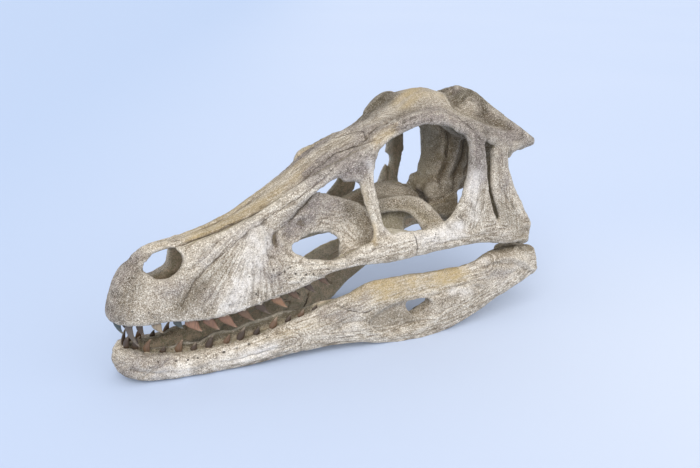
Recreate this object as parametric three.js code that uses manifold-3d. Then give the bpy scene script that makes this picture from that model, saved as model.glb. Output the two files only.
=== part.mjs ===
// A fossil Velociraptor skull: the cranium, the two halves of the lower jaw, and each tooth in its socket.
// Millimetres, +Z up. The snout points along -X, the animal's left side faces -Y, and the jaws rest on Z = 0.
// Side pieces are written once, as x, distance out from the midline, and z, and are made for both sides.
import * as THREE from "three";
import Module from "manifold-3d";

const wasm = await Module();
wasm.setup();

// Driving dimensions.
const TOOTH_FLATNESS = 0.52; // a tooth's thickness over its length
const SOCKET_GAP = 0.35; // between a tooth and its socket
const SYMPHYSIS_GAP = 0.4; // between the two jaw halves at the chin
const JOINT_GAP = 0.4; // between the quadrate and the jaw's cup
const SECTION_POWER = 0.55; // 1 is an ellipse, less is squarer
const JAW_JOINT = { x: 108, z: 46.2, radius: 4.2 };
const SPINAL_HOLE = { x: 112, z: 98, radius: 4.5, depth: 22 };

// A band of bone is carried from station to station. A station is
// [lower edge x, out, z,  upper edge x, out, z,  thickness, bow].
// The bow pushes the middle of the band outward, or upward on the roof.

const muzzleWall = [
  [-82, -14, 31.5, -85, -11.2, 53, 5.4, 0.8],
  [-97, -12, 32, -95.5, -9.6, 54.6, 5.4, 1.3],
  [-108.6, -8.4, 32.8, -103.6, -5.8, 61, 5.4, 1.6],
  [-113.8, -4.4, 34.2, -106, -2.8, 62.6, 5.4, 1.2],
  [-115, 0, 35.2, -106.6, 0, 63.2, 5.4, 1],
  [-113.8, 4.4, 34.2, -106, 2.8, 62.6, 5.4, 1.2],
  [-108.6, 8.4, 32.8, -103.6, 5.8, 61, 5.4, 1.6],
  [-97, 12, 32, -95.5, 9.6, 54.6, 5.4, 1.3],
  [-82, 14, 31.5, -85, 11.2, 53, 5.4, 0.8],
];

const snoutRoof = [
  [-104.5, -3.8, 60.6, -104.5, 3.8, 60.6, 5, 2],
  [-90, -4.4, 66.2, -90, 4.4, 66.2, 4, 2.4],
  [-79, -6.5, 66.8, -79, 6.5, 66.8, 4, 2.6],
  [-64, -9.6, 68.2, -64, 9.6, 68.2, 4, 3.4],
  [-48, -11, 74, -48, 11, 74, 4, 3.6],
  [-20, -13.4, 88.6, -20, 13.4, 88.6, 4, 3.5],
  [0, -16, 98, 0, 16, 98, 4.5, 2.8],
  [36, -18, 113.5, 36, 18, 113.5, 5, 1],
  [49, -24, 118, 49, 24, 118, 5, 1],
  [58, -30, 119.5, 58, 30, 119.5, 5.5, 3],
  [66, -25, 118.5, 66, 25, 118.5, 6, 5.5],
  [73, -15, 117.5, 73, 15, 117.5, 7, 5],
];

const braincase = [
  [62, -4, 110, 62, 4, 110, 8, 0],
  [67, -8, 105, 67, 8, 105, 26, 0],
  [71, -10, 98, 71, 10, 98, 42, 0],
  [80, -12, 93, 80, 12, 93, 50, 0],
  [91, -13, 93, 91, 13, 93, 48, 0],
  [101, -13, 98, 101, 13, 98, 34, 0],
];

const basicranium = [
  [60, -5, 72, 60, 5, 72, 7, 0],
  [68, -8, 72, 68, 8, 72, 12, 0],
  [82, -8, 70, 82, 8, 70, 14, 0],
  [96, -7, 80, 96, 7, 80, 16, 0],
  [103, -6, 86, 103, 6, 86, 12, 0],
];

const occipitalCondyle = [
  [98, -4, 86, 98, 4, 86, 8, 0],
  [106, -4.2, 86, 106, 4.2, 86, 8.5, 0],
  [110.5, -2.4, 86, 110.5, 2.4, 86, 5, 0],
];

const occiputPlate = [
  [103.5, -30, 92, 99, -26, 112, 4.5, 0],
  [102, -14, 88, 96, -14, 121, 5, 0],
  [101, 0, 90, 93, 0, 126, 6, 0],
  [102, 14, 88, 96, 14, 121, 5, 0],
  [103.5, 30, 92, 99, 26, 112, 4.5, 0],
];

const palateRod = [
  [-98, -2, 41, -98, 2, 41, 5, 0],
  [-40, -3, 52, -40, 3, 52, 5, 0],
  [12, -6.5, 65, 12, 6.5, 65, 4, 0],
];

const sidePieces = {
  maxillaWall: [
    [-91, 13, 32.2, -85.5, 10.8, 55, 5.4, 1],
    [-84, 14.2, 31.8, -80, 10.2, 62, 5.4, 1.6],
    [-72, 16.2, 31.8, -74, 9, 68.4, 5, 2.2],
    [-57, 18.8, 33.4, -56, 11, 73.4, 5, 2.6],
    [-42, 21.6, 36.4, -40, 14, 79, 5, 1.6],
  ],
  maxillaRamus: [
    [-53, 18.4, 34.6, -52, 15.8, 58, 4.4, 0.6],
    [-40, 21.6, 37, -36, 20.2, 58.6, 5.2, 0.8],
    [-21, 25, 41.6, -18, 24, 54.6, 5.2, 1],
    [-5, 28, 46.6, -4, 26.8, 52.8, 5.2, 0.8],
    [14, 31.4, 47.8, 14, 30.4, 60, 5, 0.6],
  ],
  upperRamus: [
    [-53, 13.2, 66, -52, 10.6, 74.4, 3.4, 0.5],
    [-38, 15.6, 71, -40, 11.8, 79.6, 4, 0.5],
    [-15, 17.4, 84, -18, 13.6, 91.6, 4, 0.8],
    [0, 18.8, 93, -4, 16, 98, 4.4, 0.8],
    [20, 20.6, 98, 20, 17.6, 107.4, 5.5, 1],
  ],
  fossaWall: [
    [-29, 20.8, 55, -47, 19.4, 56, 2.6, 0],
    [-28, 19.6, 61.5, -44, 16.4, 69, 2.6, -0.5],
    [-20, 18.4, 66, -28, 14.8, 76.5, 2.6, 0.5],
    [-10, 17.8, 67, -12.5, 13.8, 86, 2.6, 1.5],
    [-2.5, 18.4, 64.5, 3, 12.8, 79.5, 2.6, 1.8],
    [1.6, 20.2, 59, 13, 12.8, 69, 2.6, 1.5],
    [1.6, 22.6, 53.5, 17, 17.4, 60, 2.6, 1],
    [0, 25.6, 49.5, 12, 26, 50.5, 2.6, 0],
  ],
  lacrimalBar: [
    [7, 19, 97.5, 25, 18.6, 107, 5, 0],
    [11.4, 20.8, 90, 20.2, 20.6, 93, 5, 0],
    [13.4, 23.8, 80, 20.6, 23.6, 81, 4.4, 0],
    [16, 27, 67.5, 22.8, 27, 67, 4.4, 0],
    [15, 29.4, 59.5, 26, 30, 60, 4.6, 0],
    [9, 31, 53.5, 34, 33.4, 53.5, 5, 0],
  ],
  orbitRim: [
    [18, 19.8, 100, 18, 17, 105.6, 5, 0],
    [28, 18.6, 108.4, 28, 15.2, 112.8, 5, 0],
    [40, 21.6, 115.4, 40, 17.5, 118.6, 5, 0],
    [49, 28, 118.4, 49, 24, 121, 5, 0],
    [58, 34.6, 117.4, 58, 30, 121.6, 6, 0],
  ],
  jugalBar: [
    [0, 29.2, 48, 3, 28.4, 55, 4.6, 0.4],
    [24, 33, 47.4, 24, 32.2, 62, 5, 0.8],
    [46, 36.8, 49.6, 45, 36.4, 62.8, 5.2, 0.8],
    [72, 40.4, 51, 72, 40.4, 62.5, 6, 0.8],
    [92, 41.2, 48, 92, 42, 59.6, 6, 0.6],
    [109, 40, 45.2, 110, 40.6, 57, 6, 0],
  ],
  jugalProcess: [
    [46, 37, 57.5, 92, 42.2, 53.5, 5, 0],
    [53, 38.2, 64.5, 88, 42.4, 59.5, 5, 0.4],
    [58, 39.2, 70, 84.2, 42, 66, 5, 0.5],
    [61.6, 40, 78, 80.8, 41.6, 76, 5, 0.4],
    [63.6, 40.4, 87, 78.6, 41.2, 86.5, 5, 0.2],
  ],
  postorbitalBar: [
    [63.4, 40.4, 83.5, 78.8, 41.2, 83.5, 5, 0],
    [65, 39.8, 98, 77, 40.4, 99, 6, 0],
    [64, 38.4, 108.5, 76, 39, 109, 7, 0],
    [60, 35.8, 116.5, 72, 37, 115.4, 7, 0],
    [55, 30.5, 120, 68, 32, 119.6, 6, 0],
  ],
  temporalBar: [
    [60, 36, 113.4, 58, 31.5, 120.6, 6, 0],
    [72, 38, 110.5, 72, 34.4, 117.4, 5, 0],
    [84, 38.2, 103.5, 84, 35.2, 111, 5, 0],
    [96, 37, 97, 96, 33, 107, 6, 0],
    [107, 34.6, 98, 107, 31, 105.4, 5, 0],
  ],
  quadratojugal: [
    [86, 41.8, 52, 110, 39.6, 46.4, 6, 0],
    [91.4, 42, 59.5, 111, 40.6, 56, 5.5, 0.4],
    [88, 42, 69, 105.4, 40.8, 66.5, 4.4, 0.4],
    [84.4, 41.4, 80, 99, 39.8, 79, 4.2, 0.2],
    [84, 40.8, 90, 96, 38.8, 91, 4.4, 0],
    [85, 39.4, 101, 95, 37, 103, 5, 0],
  ],
  nuchalCrest: [
    [90, -1, 118, 86.5, -1, 128.6, 6, 0],
    [93.4, 9, 115, 90.4, 9, 127.2, 6, 0.6],
    [98, 22, 106.5, 96.4, 21.5, 118.6, 5.6, 0.8],
    [105, 31.5, 100, 105.4, 31.5, 108.8, 5.2, 0],
    [113.4, 36.6, 98, 113.6, 36.6, 101, 3, 0],
  ],
  paroccipital: [
    [98, 10, 90, 96, 10, 106, 5, 0],
    [102, 22, 91, 101, 22, 106, 4.6, 0],
    [107, 31, 94.5, 107, 31, 104, 4.4, 0],
    [112.4, 36.2, 97.4, 112.6, 36.2, 101.4, 3.4, 0],
  ],
  parietalSide: [
    [64, 17, 115, 66, 10, 124, 5, 0],
    [78, 10, 112, 80, 3, 125.4, 5, 0],
    [92, 14, 112, 90, 6, 126, 5, 0],
  ],
  quadrateShaft: [
    [101, 34, 50, 109, 33, 50, 8, 0],
    [97, 33.8, 70, 104.4, 33, 70, 5.2, 0],
    [92, 32.5, 92, 98.4, 31.5, 92, 5.4, 0],
    [92, 33.5, 103, 98, 32.5, 104, 6, 0],
  ],
  quadrateCondyle: [
    [103.8, 41, 47.4, 111.4, 41, 47.4, 6.6, 0],
    [103.6, 34, 47.4, 111.8, 34, 47.4, 7.4, 0],
    [103.8, 27.5, 48.4, 111.2, 27.5, 48.4, 6.4, 0],
  ],
  ectopterygoid: [
    [33, 10, 63, 33, 11, 70, 4, 0],
    [40, 15, 64, 42, 14.5, 72, 4, 0],
    [43, 23, 63.5, 48, 22, 71.5, 4, 0],
    [44, 34, 59, 53, 36, 65, 5, 0],
  ],
};

// The jaw halves differ behind the teeth: the left one is deep, and the right one has lost its lower rear.
const jawFront = [
  [-115, 0, 7.4, -112.8, 0, 17.4, 8, 0.4],
  [-113.2, 3.6, 4.2, -111.6, 3.4, 18.6, 8.4, 0.8],
  [-109, 6.8, 2.2, -108.4, 6.8, 18, 8.6, 1],
  [-99, 9.8, -0.8, -99.4, 10, 15.2, 8.6, 1.2],
  [-78, 14.2, -1, -78, 14.4, 13, 8, 1.2],
  [-52, 19, -0.8, -52, 19.4, 16, 7.6, 1.2],
];
const jawRear = {
  left: [
    [-26, 24, 1.4, -26, 24.4, 23.8, 7, 1],
    [0, 28.8, 2, -1, 28.8, 32.2, 7, 1],
    [16, 31.4, 0.4, 13, 31.4, 37.8, 7, 1.6],
    [32, 33.4, -1.6, 32, 34.2, 38.8, 7, 1.6],
    [50, 34.8, -1.6, 52, 36, 37.6, 7.5, 1.6],
    [74, 37, 5, 72, 38.4, 38.6, 8.6, 1.6],
    [92, 38.4, 13, 86, 39.2, 43.4, 10.2, 1],
    [108, 39, 21, 101, 39.4, 43.8, 12, 0],
    [117.8, 39, 27.8, 114.6, 39.2, 42.2, 9, 0],
  ],
  right: [
    [-26, 24, 0.2, -26, 24.4, 21.6, 7, 1],
    [0, 28.4, -1.6, -1, 28.8, 29.4, 7, 1],
    [15, 30.6, -1.6, 13, 31.4, 34.2, 7, 1.4],
    [29, 33, 7, 30, 34, 37, 7, 1.2],
    [46, 34.6, 15.6, 48, 36, 38.6, 7, 1],
    [64, 36.4, 25, 64, 37.6, 39.4, 7, 0.8],
    [82, 38.2, 32, 82, 39, 42.6, 8, 0.4],
    [98, 38.8, 33, 98, 39.4, 43.8, 10, 0],
    [115.6, 39, 33.4, 113.6, 39.4, 42.2, 8, 0],
  ],
};
const jawInnerRidge = [
  [96, 34, 34, 96, 34, 43, 8, 0],
  [106, 31, 33, 106, 31, 42.6, 9, 0],
  [115, 32, 34, 114, 32, 41.6, 7, 0],
];
const jawWindow = [[36, 24], [34.6, 18.5], [37.4, 13.8], [42.6, 12.8], [46, 17.5], [44.4, 23.4]];
const jawHollow = { x: 23, z: 14, length: 14, height: 10, depth: 2.4, out: 38 };

// On the right side the slit behind the eye is an open window, and the bar before it is broken.
const rightPieces = {
  jugalProcess: [
    [50, 37.6, 58, 84, 42, 55, 5, 0],
    [60, 39.2, 64.5, 76, 41.4, 62.4, 5, 0.3],
    [66, 40, 71, 73.6, 41, 68, 5, 0],
    [68, 40.2, 78, 75.6, 41, 76, 4.6, 0],
    [66.8, 40.4, 87, 77.2, 41.2, 86.5, 5, 0],
  ],
  brokenSpur: [
    [56.6, 38.4, 61.6, 68, 40, 66, 4.6, 0],
    [60.6, 39.2, 70, 65.6, 39.8, 71.6, 4, 0],
    [64, 39.8, 77, 66, 40, 77, 2.6, 0],
  ],
  quadratojugal: [
    [88, 41.8, 52, 110, 39.6, 46.4, 6, 0],
    [93.4, 42, 59.5, 111, 40.6, 56, 5.5, 0.4],
    [93, 42, 69, 105.4, 40.8, 66.5, 4.4, 0.4],
    [91.4, 41.4, 80, 99.6, 39.8, 79, 4.2, 0.2],
    [90, 40.4, 90, 97, 38.8, 91, 4.4, 0],
    [89, 39.4, 101, 95, 37, 103, 5, 0],
  ],
};

// Thin plates inside the skull: the palate, and the wings that brace it.
const thinPieces = {
  quadrateWing: [
    [102, 33, 60, 98, 32.5, 92, 3, 0],
    [92, 25, 59, 89, 24.5, 86, 3, 0],
    [80, 16, 58, 78, 16, 78, 3, 0],
    [68, 10, 58, 67, 10, 74, 3, 0],
  ],
  pterygoid: [
    [80, 14, 58, 80, 14, 74, 3.4, 0],
    [42, 9.5, 60, 42, 9, 75, 3.4, 0],
    [14, 7, 60, 14, 6.6, 71, 3.4, 0],
    [-16, 3.6, 56, -16, 3.2, 62, 3.4, 0],
  ],
  pterygoidFlange: [
    [26, 11, 50, 44, 13, 47, 3, 0],
    [27, 10, 58, 46, 12, 57, 3, 0],
    [30, 8.5, 65, 46, 9.5, 66, 3, 0],
  ],
  palatine: [
    [-16, 24.5, 48.5, 10, 29, 51, 3, 0],
    [-10, 17, 53, 10, 18, 58, 2.8, 0.5],
    [-8, 9, 58, 12, 9, 64, 2.8, 0],
    [-8, 3.6, 60, 12, 5, 65, 3, 0],
  ],
  jugalShelf: [
    [17, 31, 58, 20, 23, 64, 2.6, 0],
    [28, 32.6, 60, 28, 26, 63.4, 2.6, 0],
    [38, 34.6, 60, 37, 31, 61.6, 2.6, 0],
  ],
  palateShelf: [
    [-104, 8, 40, -104, 1.5, 41, 3, 0],
    [-80, 12.6, 40, -80, 6.5, 43.4, 3, 0],
    [-44, 18.4, 44, -44, 11.5, 50, 3, 0],
    [-8, 24, 51, -8, 17, 56, 3, 0],
  ],
};

// Each tooth's [x, out, z at the bone's edge, crown length, base length], from the front backwards.
const UPPER_ROW = {
  root: 4.6,
  down: -1,
  teeth: [
    [-112.4, 3, 34.8, 6.6, 3],
    [-107.8, 6.9, 33.4, 7, 3.2],
    [-102.2, 9.3, 32.7, 6.4, 3.4],
    [-95, 11.6, 32.3, 7.4, 4],
    [-86.2, 13.2, 32, 7.8, 4.6],
    [-78.4, 14.4, 31.9, 7.4, 5],
    [-70.2, 15.8, 32.1, 7.6, 5.2],
    [-62, 17.2, 32.8, 7.8, 5.2],
    [-53.8, 18.7, 34, 7.4, 5.2],
    [-45.4, 20.2, 35.8, 7.2, 5],
    [-37, 21.7, 37.7, 6.8, 4.8],
    [-28.8, 23.2, 39.4, 6.2, 4.4],
    [-20.8, 24.7, 41.8, 5.6, 4],
    [-13.2, 26.2, 43.8, 5, 3.6],
  ],
};
const LOWER_ROW = {
  root: 4,
  down: 1,
  teeth: [
    [-111, 2.6, 17.6, 8.8, 2.8],
    [-106.4, 5.2, 17, 8, 3],
    [-101.2, 7.6, 15.4, 7.2, 3.2],
    [-94.4, 9.2, 14, 6, 3.4],
    [-86.4, 10.8, 13.2, 5.6, 3.6],
    [-78.4, 12.6, 12.8, 5.4, 3.8],
    [-70.6, 14.2, 13.2, 5.4, 3.8],
    [-62.8, 15.8, 14, 5.4, 3.8],
    [-55, 17.4, 15, 5.2, 3.8],
    [-47, 19, 16.6, 5, 3.8],
    [-39.2, 20.6, 18.8, 4.8, 3.6],
    [-31.6, 22, 20.8, 4.6, 3.4],
    [-24.2, 23.4, 22.8, 4.2, 3.2],
    [-17, 24.6, 24.6, 3.8, 3],
  ],
};

// A closed tube with fanned ends. Each ring lists its corners in the same order.
function solidOfRings(rings) {
  const sides = rings[0].length;
  const points = rings.flat();
  const faces = [];
  for (let i = 0; i < rings.length - 1; i++)
    for (let j = 0; j < sides; j++) {
      const a = i * sides + j;
      const b = i * sides + ((j + 1) % sides);
      faces.push([a, b, b + sides], [a, b + sides, a + sides]);
    }
  for (let j = 1; j < sides - 1; j++) {
    const last = (rings.length - 1) * sides;
    faces.push([0, j + 1, j], [last, last + j, last + j + 1]);
  }
  const geometry = new THREE.BufferGeometry().setFromPoints(points);
  geometry.setIndex(faces.flat());
  return solidOf(geometry);
}

// Six times the enclosed volume. It is negative when the faces point inwards.
function sixVolumes(positions, index) {
  const corner = (k) => new THREE.Vector3().fromArray(positions, index[k] * 3);
  let total = 0;
  for (let k = 0; k < index.length; k += 3)
    total += corner(k).dot(corner(k + 1).cross(corner(k + 2)));
  return total;
}

function solidOf(geometry) {
  const vertProperties = new Float32Array(geometry.getAttribute("position").array);
  const triVerts = new Uint32Array(geometry.getIndex().array);
  if (sixVolumes(vertProperties, triVerts) < 0)
    for (let k = 0; k < triVerts.length; k += 3)
      [triVerts[k + 1], triVerts[k + 2]] = [triVerts[k + 2], triVerts[k + 1]];
  return new wasm.Manifold(new wasm.Mesh({ numProp: 3, vertProperties, triVerts }));
}

// A closed solid from a geometry that repeats a corner for each face.
function closedSolid(geometry) {
  const places = geometry.getAttribute("position");
  const seen = new Map();
  const points = [];
  const shared = Array.from({ length: places.count }, (_, i) => {
    const p = new THREE.Vector3().fromBufferAttribute(places, i);
    const key = p.toArray().map((v) => Math.round(v * 1e4) + 0).join();
    if (!seen.has(key)) seen.set(key, points.push(p) - 1);
    return seen.get(key);
  });
  const order = geometry.getIndex() ? Array.from(geometry.getIndex().array) : shared.map((_, i) => i);
  const index = [];
  for (let k = 0; k < order.length; k += 3) {
    const face = order.slice(k, k + 3).map((v) => shared[v]);
    if (new Set(face).size === 3) index.push(...face);
  }
  return solidOf(new THREE.BufferGeometry().setFromPoints(points).setIndex(index));
}

const curveThrough = (points) => new THREE.CatmullRomCurve3(points, false, "catmullrom", 0.5);

// The rings of a band: a rounded lens across each station, set square to the band's own path.
function bandRings(stations, side, { sides = 6, outward = [0, 1, 0] } = {}) {
  const point = (s, k) => new THREE.Vector3(s[k], s[k + 1] * side, s[k + 2]);
  const lower = curveThrough(stations.map((s) => point(s, 0)));
  const upper = curveThrough(stations.map((s) => point(s, 3)));
  const build = curveThrough(stations.map((s) => new THREE.Vector3(s[6], s[7], 0)));
  const centre = curveThrough(stations.map((s) => point(s, 0).add(point(s, 3)).multiplyScalar(0.5)));
  const count = stations.length - 1;
  const out = new THREE.Vector3(outward[0], outward[1] * side, outward[2]);
  let sign = 0;
  return Array.from({ length: count + 1 }, (_, i) => {
    const t = i / count;
    const low = lower.getPoint(t);
    const half = upper.getPoint(t).sub(low).multiplyScalar(0.5);
    const middle = low.clone().add(half);
    const normal = centre.getTangent(t).cross(half).normalize();
    sign = sign || Math.sign(normal.dot(out)) || 1;
    const { x: thickness, y: bow } = build.getPoint(t);
    return sectionOf(sides).map(([across, through]) => {
      const lift = bow * (1 - across * across) + (thickness / 2) * through;
      return middle.clone().addScaledVector(half, across).addScaledVector(normal, sign * lift);
    });
  });
}

// A section's corners, across the band and through its thickness. Four corners make a plain plate,
// and more make a lens that is drawn towards a square, with flat faces and blunt edges.
function sectionOf(sides) {
  if (sides === 4) return [[1, 1], [-1, 1], [-1, -1], [1, -1]];
  const squarer = (value) => {
    const size = Math.abs(value);
    return size < 1e-9 ? 0 : Math.sign(value) * size ** SECTION_POWER;
  };
  return Array.from({ length: sides }, (_, j) => {
    const angle = (2 * Math.PI * j) / sides;
    return [squarer(Math.cos(angle)), squarer(Math.sin(angle))];
  });
}

const band = (stations, side, options) => solidOfRings(bandRings(stations, side, options));
const bandsOf = (pieces, side, sides) =>
  Object.values(pieces).map((stations) => band(stations, side, { sides }));
const joined = (solids) => solids.reduce((whole, next) => whole.add(next));

// The way along a row at one tooth, level and pointing backwards.
function alongRow(row, index, side) {
  const [before, after] = [Math.max(index - 1, 0), Math.min(index + 1, row.teeth.length - 1)];
  const [a, b] = [row.teeth[before], row.teeth[after]];
  return new THREE.Vector3(b[0] - a[0], (b[1] - a[1]) * side, 0).normalize();
}

// A blade of stations [reach past the bone's edge, length, thickness, lean back] at one tooth's place.
function bladeAt(row, index, side, sides, profile) {
  const [x, out, z] = row.teeth[index];
  const along = alongRow(row, index, side);
  const stations = profile.map(([reach, length, thickness, lean]) => {
    const middle = new THREE.Vector3(x, out * side, z + reach * row.down).addScaledVector(along, lean);
    const front = middle.clone().addScaledVector(along, -length / 2);
    const rear = middle.clone().addScaledVector(along, length / 2);
    return [...front, ...rear, thickness, 0];
  });
  return band(stations, 1, { sides, outward: [0, side, 0] });
}

// One tooth: a flattened blade with its root in the bone and a crown that curves back to its tip.
function tooth(row, index, side) {
  const [, , , crown, base] = row.teeth[index];
  return bladeAt(row, index, side, 5, [
    [-row.root, base, base * TOOTH_FLATNESS, 0],
    [0.4, base, base * TOOTH_FLATNESS, 0],
    [crown * 0.55, base * 0.74, base * 0.42, crown * 0.06],
    [crown, base * 0.16, base * 0.14, crown * 0.34],
  ]);
}

// The room for one tooth's root, open past the bone's edge.
function socket(row, index, side) {
  const [, , , , base] = row.teeth[index];
  const grown = [base + 2 * SOCKET_GAP, base * TOOTH_FLATNESS + 2 * SOCKET_GAP, 0];
  return bladeAt(row, index, side, 4, [
    [-row.root - SOCKET_GAP, ...grown],
    [3.5, ...grown],
  ]);
}

const numbers = (row) => row.teeth.map((_, i) => i);
const socketsOf = (row, side) => joined(numbers(row).map((i) => socket(row, i, side)));

// The spinal cord's hole and the upper sockets are cut from the joined bands.
function makeCranium() {
  const roofward = { outward: [0, 0, 1] };
  const middle = [
    band(muzzleWall, 1, { outward: [0, -1, 0] }),
    band(snoutRoof, 1, roofward),
    band(braincase, 1, roofward),
    band(basicranium, 1, roofward),
    band(occipitalCondyle, 1, roofward),
    band(occiputPlate, 1, { outward: [1, 0, 0] }),
    band(palateRod, 1, roofward),
  ];
  const left = [...bandsOf(sidePieces, -1, 6), ...bandsOf(thinPieces, -1, 4)];
  const right = [...bandsOf({ ...sidePieces, ...rightPieces }, 1, 6), ...bandsOf(thinPieces, 1, 4)];
  const spinalHole = new THREE.CylinderGeometry(SPINAL_HOLE.radius, SPINAL_HOLE.radius, SPINAL_HOLE.depth, 12)
    .rotateZ(Math.PI / 2)
    .translate(SPINAL_HOLE.x - SPINAL_HOLE.depth / 4, 0, SPINAL_HOLE.z);
  const sockets = [-1, 1].map((side) => socketsOf(UPPER_ROW, side));
  return joined([...middle, ...left, ...right]).subtract(joined([closedSolid(spinalHole), ...sockets]));
}

// A prism through the jaw, from an outline in x and z, on one side of the midline.
function prismThrough(outline, side) {
  const corners = [...outline, outline[0]].map(([x, z]) => new THREE.Vector2(x, z));
  const shape = new THREE.Shape(new THREE.SplineCurve(corners).getPoints(12).slice(0, -1));
  const geometry = new THREE.ExtrudeGeometry(shape, { depth: 30, bevelEnabled: false });
  return closedSolid(geometry.rotateX(Math.PI / 2).translate(0, side < 0 ? -20 : 50, 0));
}

const box = (sx, sy, sz, x, y, z) => closedSolid(new THREE.BoxGeometry(sx, sy, sz).translate(x, y, z));

// The underside is cut level with the table, and the chin is cut back from the midline.
function makeJaw(side) {
  const rear = side < 0 ? jawRear.left : jawRear.right;
  const body = joined([band([...jawFront, ...rear], side, { sides: 8 }), band(jawInnerRidge, side)]);
  const hollow = new THREE.SphereGeometry(1, 12, 8)
    .scale(jawHollow.length, jawHollow.depth, jawHollow.height)
    .translate(jawHollow.x, jawHollow.out * side, jawHollow.z);
  const cup = new THREE.CylinderGeometry(1, 1, 24, 16)
    .scale(JAW_JOINT.radius + JOINT_GAP, 1, JAW_JOINT.radius + JOINT_GAP)
    .translate(JAW_JOINT.x, 34 * side, JAW_JOINT.z);
  const cuts = [
    ...(side < 0 ? [prismThrough(jawWindow, side), closedSolid(hollow)] : []),
    closedSolid(cup),
    socketsOf(LOWER_ROW, side),
    box(300, 100, 20, 0, 40 * side, -10),
    box(300, 20, 100, 0, (SYMPHYSIS_GAP / 2 - 10) * side, 30),
  ];
  return body.subtract(joined(cuts));
}

const BONE_COLOR = 0xcdc3b4;
const TOOTH_COLOR = 0x8a5a3c;

function meshOf(solid, name, color) {
  const { vertProperties, triVerts } = solid.getMesh();
  const geometry = new THREE.BufferGeometry();
  geometry.setAttribute("position", new THREE.BufferAttribute(new Float32Array(vertProperties), 3));
  geometry.setIndex(Array.from(triVerts));
  geometry.computeVertexNormals();
  const mesh = new THREE.Mesh(geometry, new THREE.MeshStandardMaterial({ color, roughness: 0.75 }));
  mesh.name = name;
  return mesh;
}

const skull = new THREE.Group();
skull.name = "velociraptor_skull";
skull.add(meshOf(makeCranium(), "cranium", BONE_COLOR));
for (const [word, side] of [["left", -1], ["right", 1]]) {
  skull.add(meshOf(makeJaw(side), `${word}_lower_jaw`, BONE_COLOR));
  for (const [row, rowWord] of [[UPPER_ROW, "upper"], [LOWER_ROW, "lower"]])
    for (const i of numbers(row))
      skull.add(meshOf(tooth(row, i, side), `${word}_${rowWord}_tooth_${i + 1}`, TOOTH_COLOR));
}

export default skull;
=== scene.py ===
# A fossil raptor skull lying on its jaws: the cranium, the two halves of the lower jaw, and 56 teeth.
# Shapes are worked out with numpy in millimetres and go into Blender in metres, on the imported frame.
import math
import bpy
import numpy as np
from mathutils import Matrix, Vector


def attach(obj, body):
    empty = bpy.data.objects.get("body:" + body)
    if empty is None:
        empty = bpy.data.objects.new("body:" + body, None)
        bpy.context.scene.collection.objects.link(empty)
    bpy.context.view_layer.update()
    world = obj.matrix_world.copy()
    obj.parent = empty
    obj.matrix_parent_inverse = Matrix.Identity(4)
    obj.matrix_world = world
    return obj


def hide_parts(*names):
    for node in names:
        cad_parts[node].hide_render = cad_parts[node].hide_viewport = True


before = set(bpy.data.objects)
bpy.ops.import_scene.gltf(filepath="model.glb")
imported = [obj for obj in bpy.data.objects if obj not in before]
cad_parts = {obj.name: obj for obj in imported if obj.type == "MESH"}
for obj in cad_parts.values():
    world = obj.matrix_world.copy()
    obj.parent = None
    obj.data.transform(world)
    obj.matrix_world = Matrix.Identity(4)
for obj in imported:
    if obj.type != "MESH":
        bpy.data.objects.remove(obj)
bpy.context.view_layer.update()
mm = 0.001
bothSides = (-1, 1)  # left and right
print("frame loaded:", len(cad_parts), "nodes")


# The camera stands at the photograph's angle, and looks a little behind the middle of the skull.
view = {"azimuth": -29, "elevation": 21, "distance": 430, "target": (18, 0, 53), "lens": 40}


def placeCamera():
    turn = math.radians(view["azimuth"])
    rise = math.radians(view["elevation"])
    away = Vector((math.sin(turn) * math.cos(rise), -math.cos(turn) * math.cos(rise), math.sin(rise)))
    data = bpy.data.cameras.new("camera")
    data.lens = view["lens"]
    data.clip_start = 0.01
    camera = bpy.data.objects.new("camera", data)
    camera.location = (Vector(view["target"]) + away * view["distance"]) * mm
    camera.rotation_euler = (-away).to_track_quat("-Z", "Y").to_euler()
    bpy.context.scene.collection.objects.link(camera)
    bpy.context.scene.camera = camera


placeCamera()
print("camera placed")


# Points between the rows of a table, on a smooth curve. Each span blends its two ends and their
# slopes, and a slope is half the step between the rows on either side.
def smoothRows(rows, steps):
    rows = np.asarray(rows, float)
    padded = np.vstack([2 * rows[:1] - rows[1:2], rows, 2 * rows[-1:] - rows[-2:-1]])
    slope = (padded[2:] - padded[:-2]) / 2
    t = np.linspace(0, 1, steps, endpoint=False)[:, None]
    spans = (
        (2 * t**3 - 3 * t**2 + 1) * rows[:-1, None]
        + (t**3 - 2 * t**2 + t) * slope[:-1, None]
        + (3 * t**2 - 2 * t**3) * rows[1:, None]
        + (t**3 - t**2) * slope[1:, None]
    )
    return np.vstack([spans.reshape(-1, rows.shape[1]), rows[-1:]])


def lengthOf(vectors):
    return np.sqrt((vectors**2).sum(-1, keepdims=True))


def unit(vectors):
    return vectors / np.maximum(lengthOf(vectors), 1e-9)


def smoothStep(low, high, values):
    t = np.clip((values - low) / (high - low), 0, 1)
    return t * t * (3 - 2 * t)


# Quads between rings of points, with the numbers of the corners counted ring by ring.
def ringFaces(rings, around):
    ring, place = np.meshgrid(np.arange(rings - 1), np.arange(around), indexing="ij")
    a = ring * around + place
    b = ring * around + (place + 1) % around
    return np.stack([a, b, b + around, a + around], -1).reshape(-1, 4)


# The fans that close the two ends of a tube, from one middle point at each end.
def endFans(rings, around):
    place = np.arange(around)
    after = (place + 1) % around
    last = (rings - 1) * around
    front = np.stack([after, place, np.full(around, rings * around)], -1)
    back = np.stack([last + place, last + after, np.full(around, rings * around + 1)], -1)
    return np.vstack([front, back])


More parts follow.
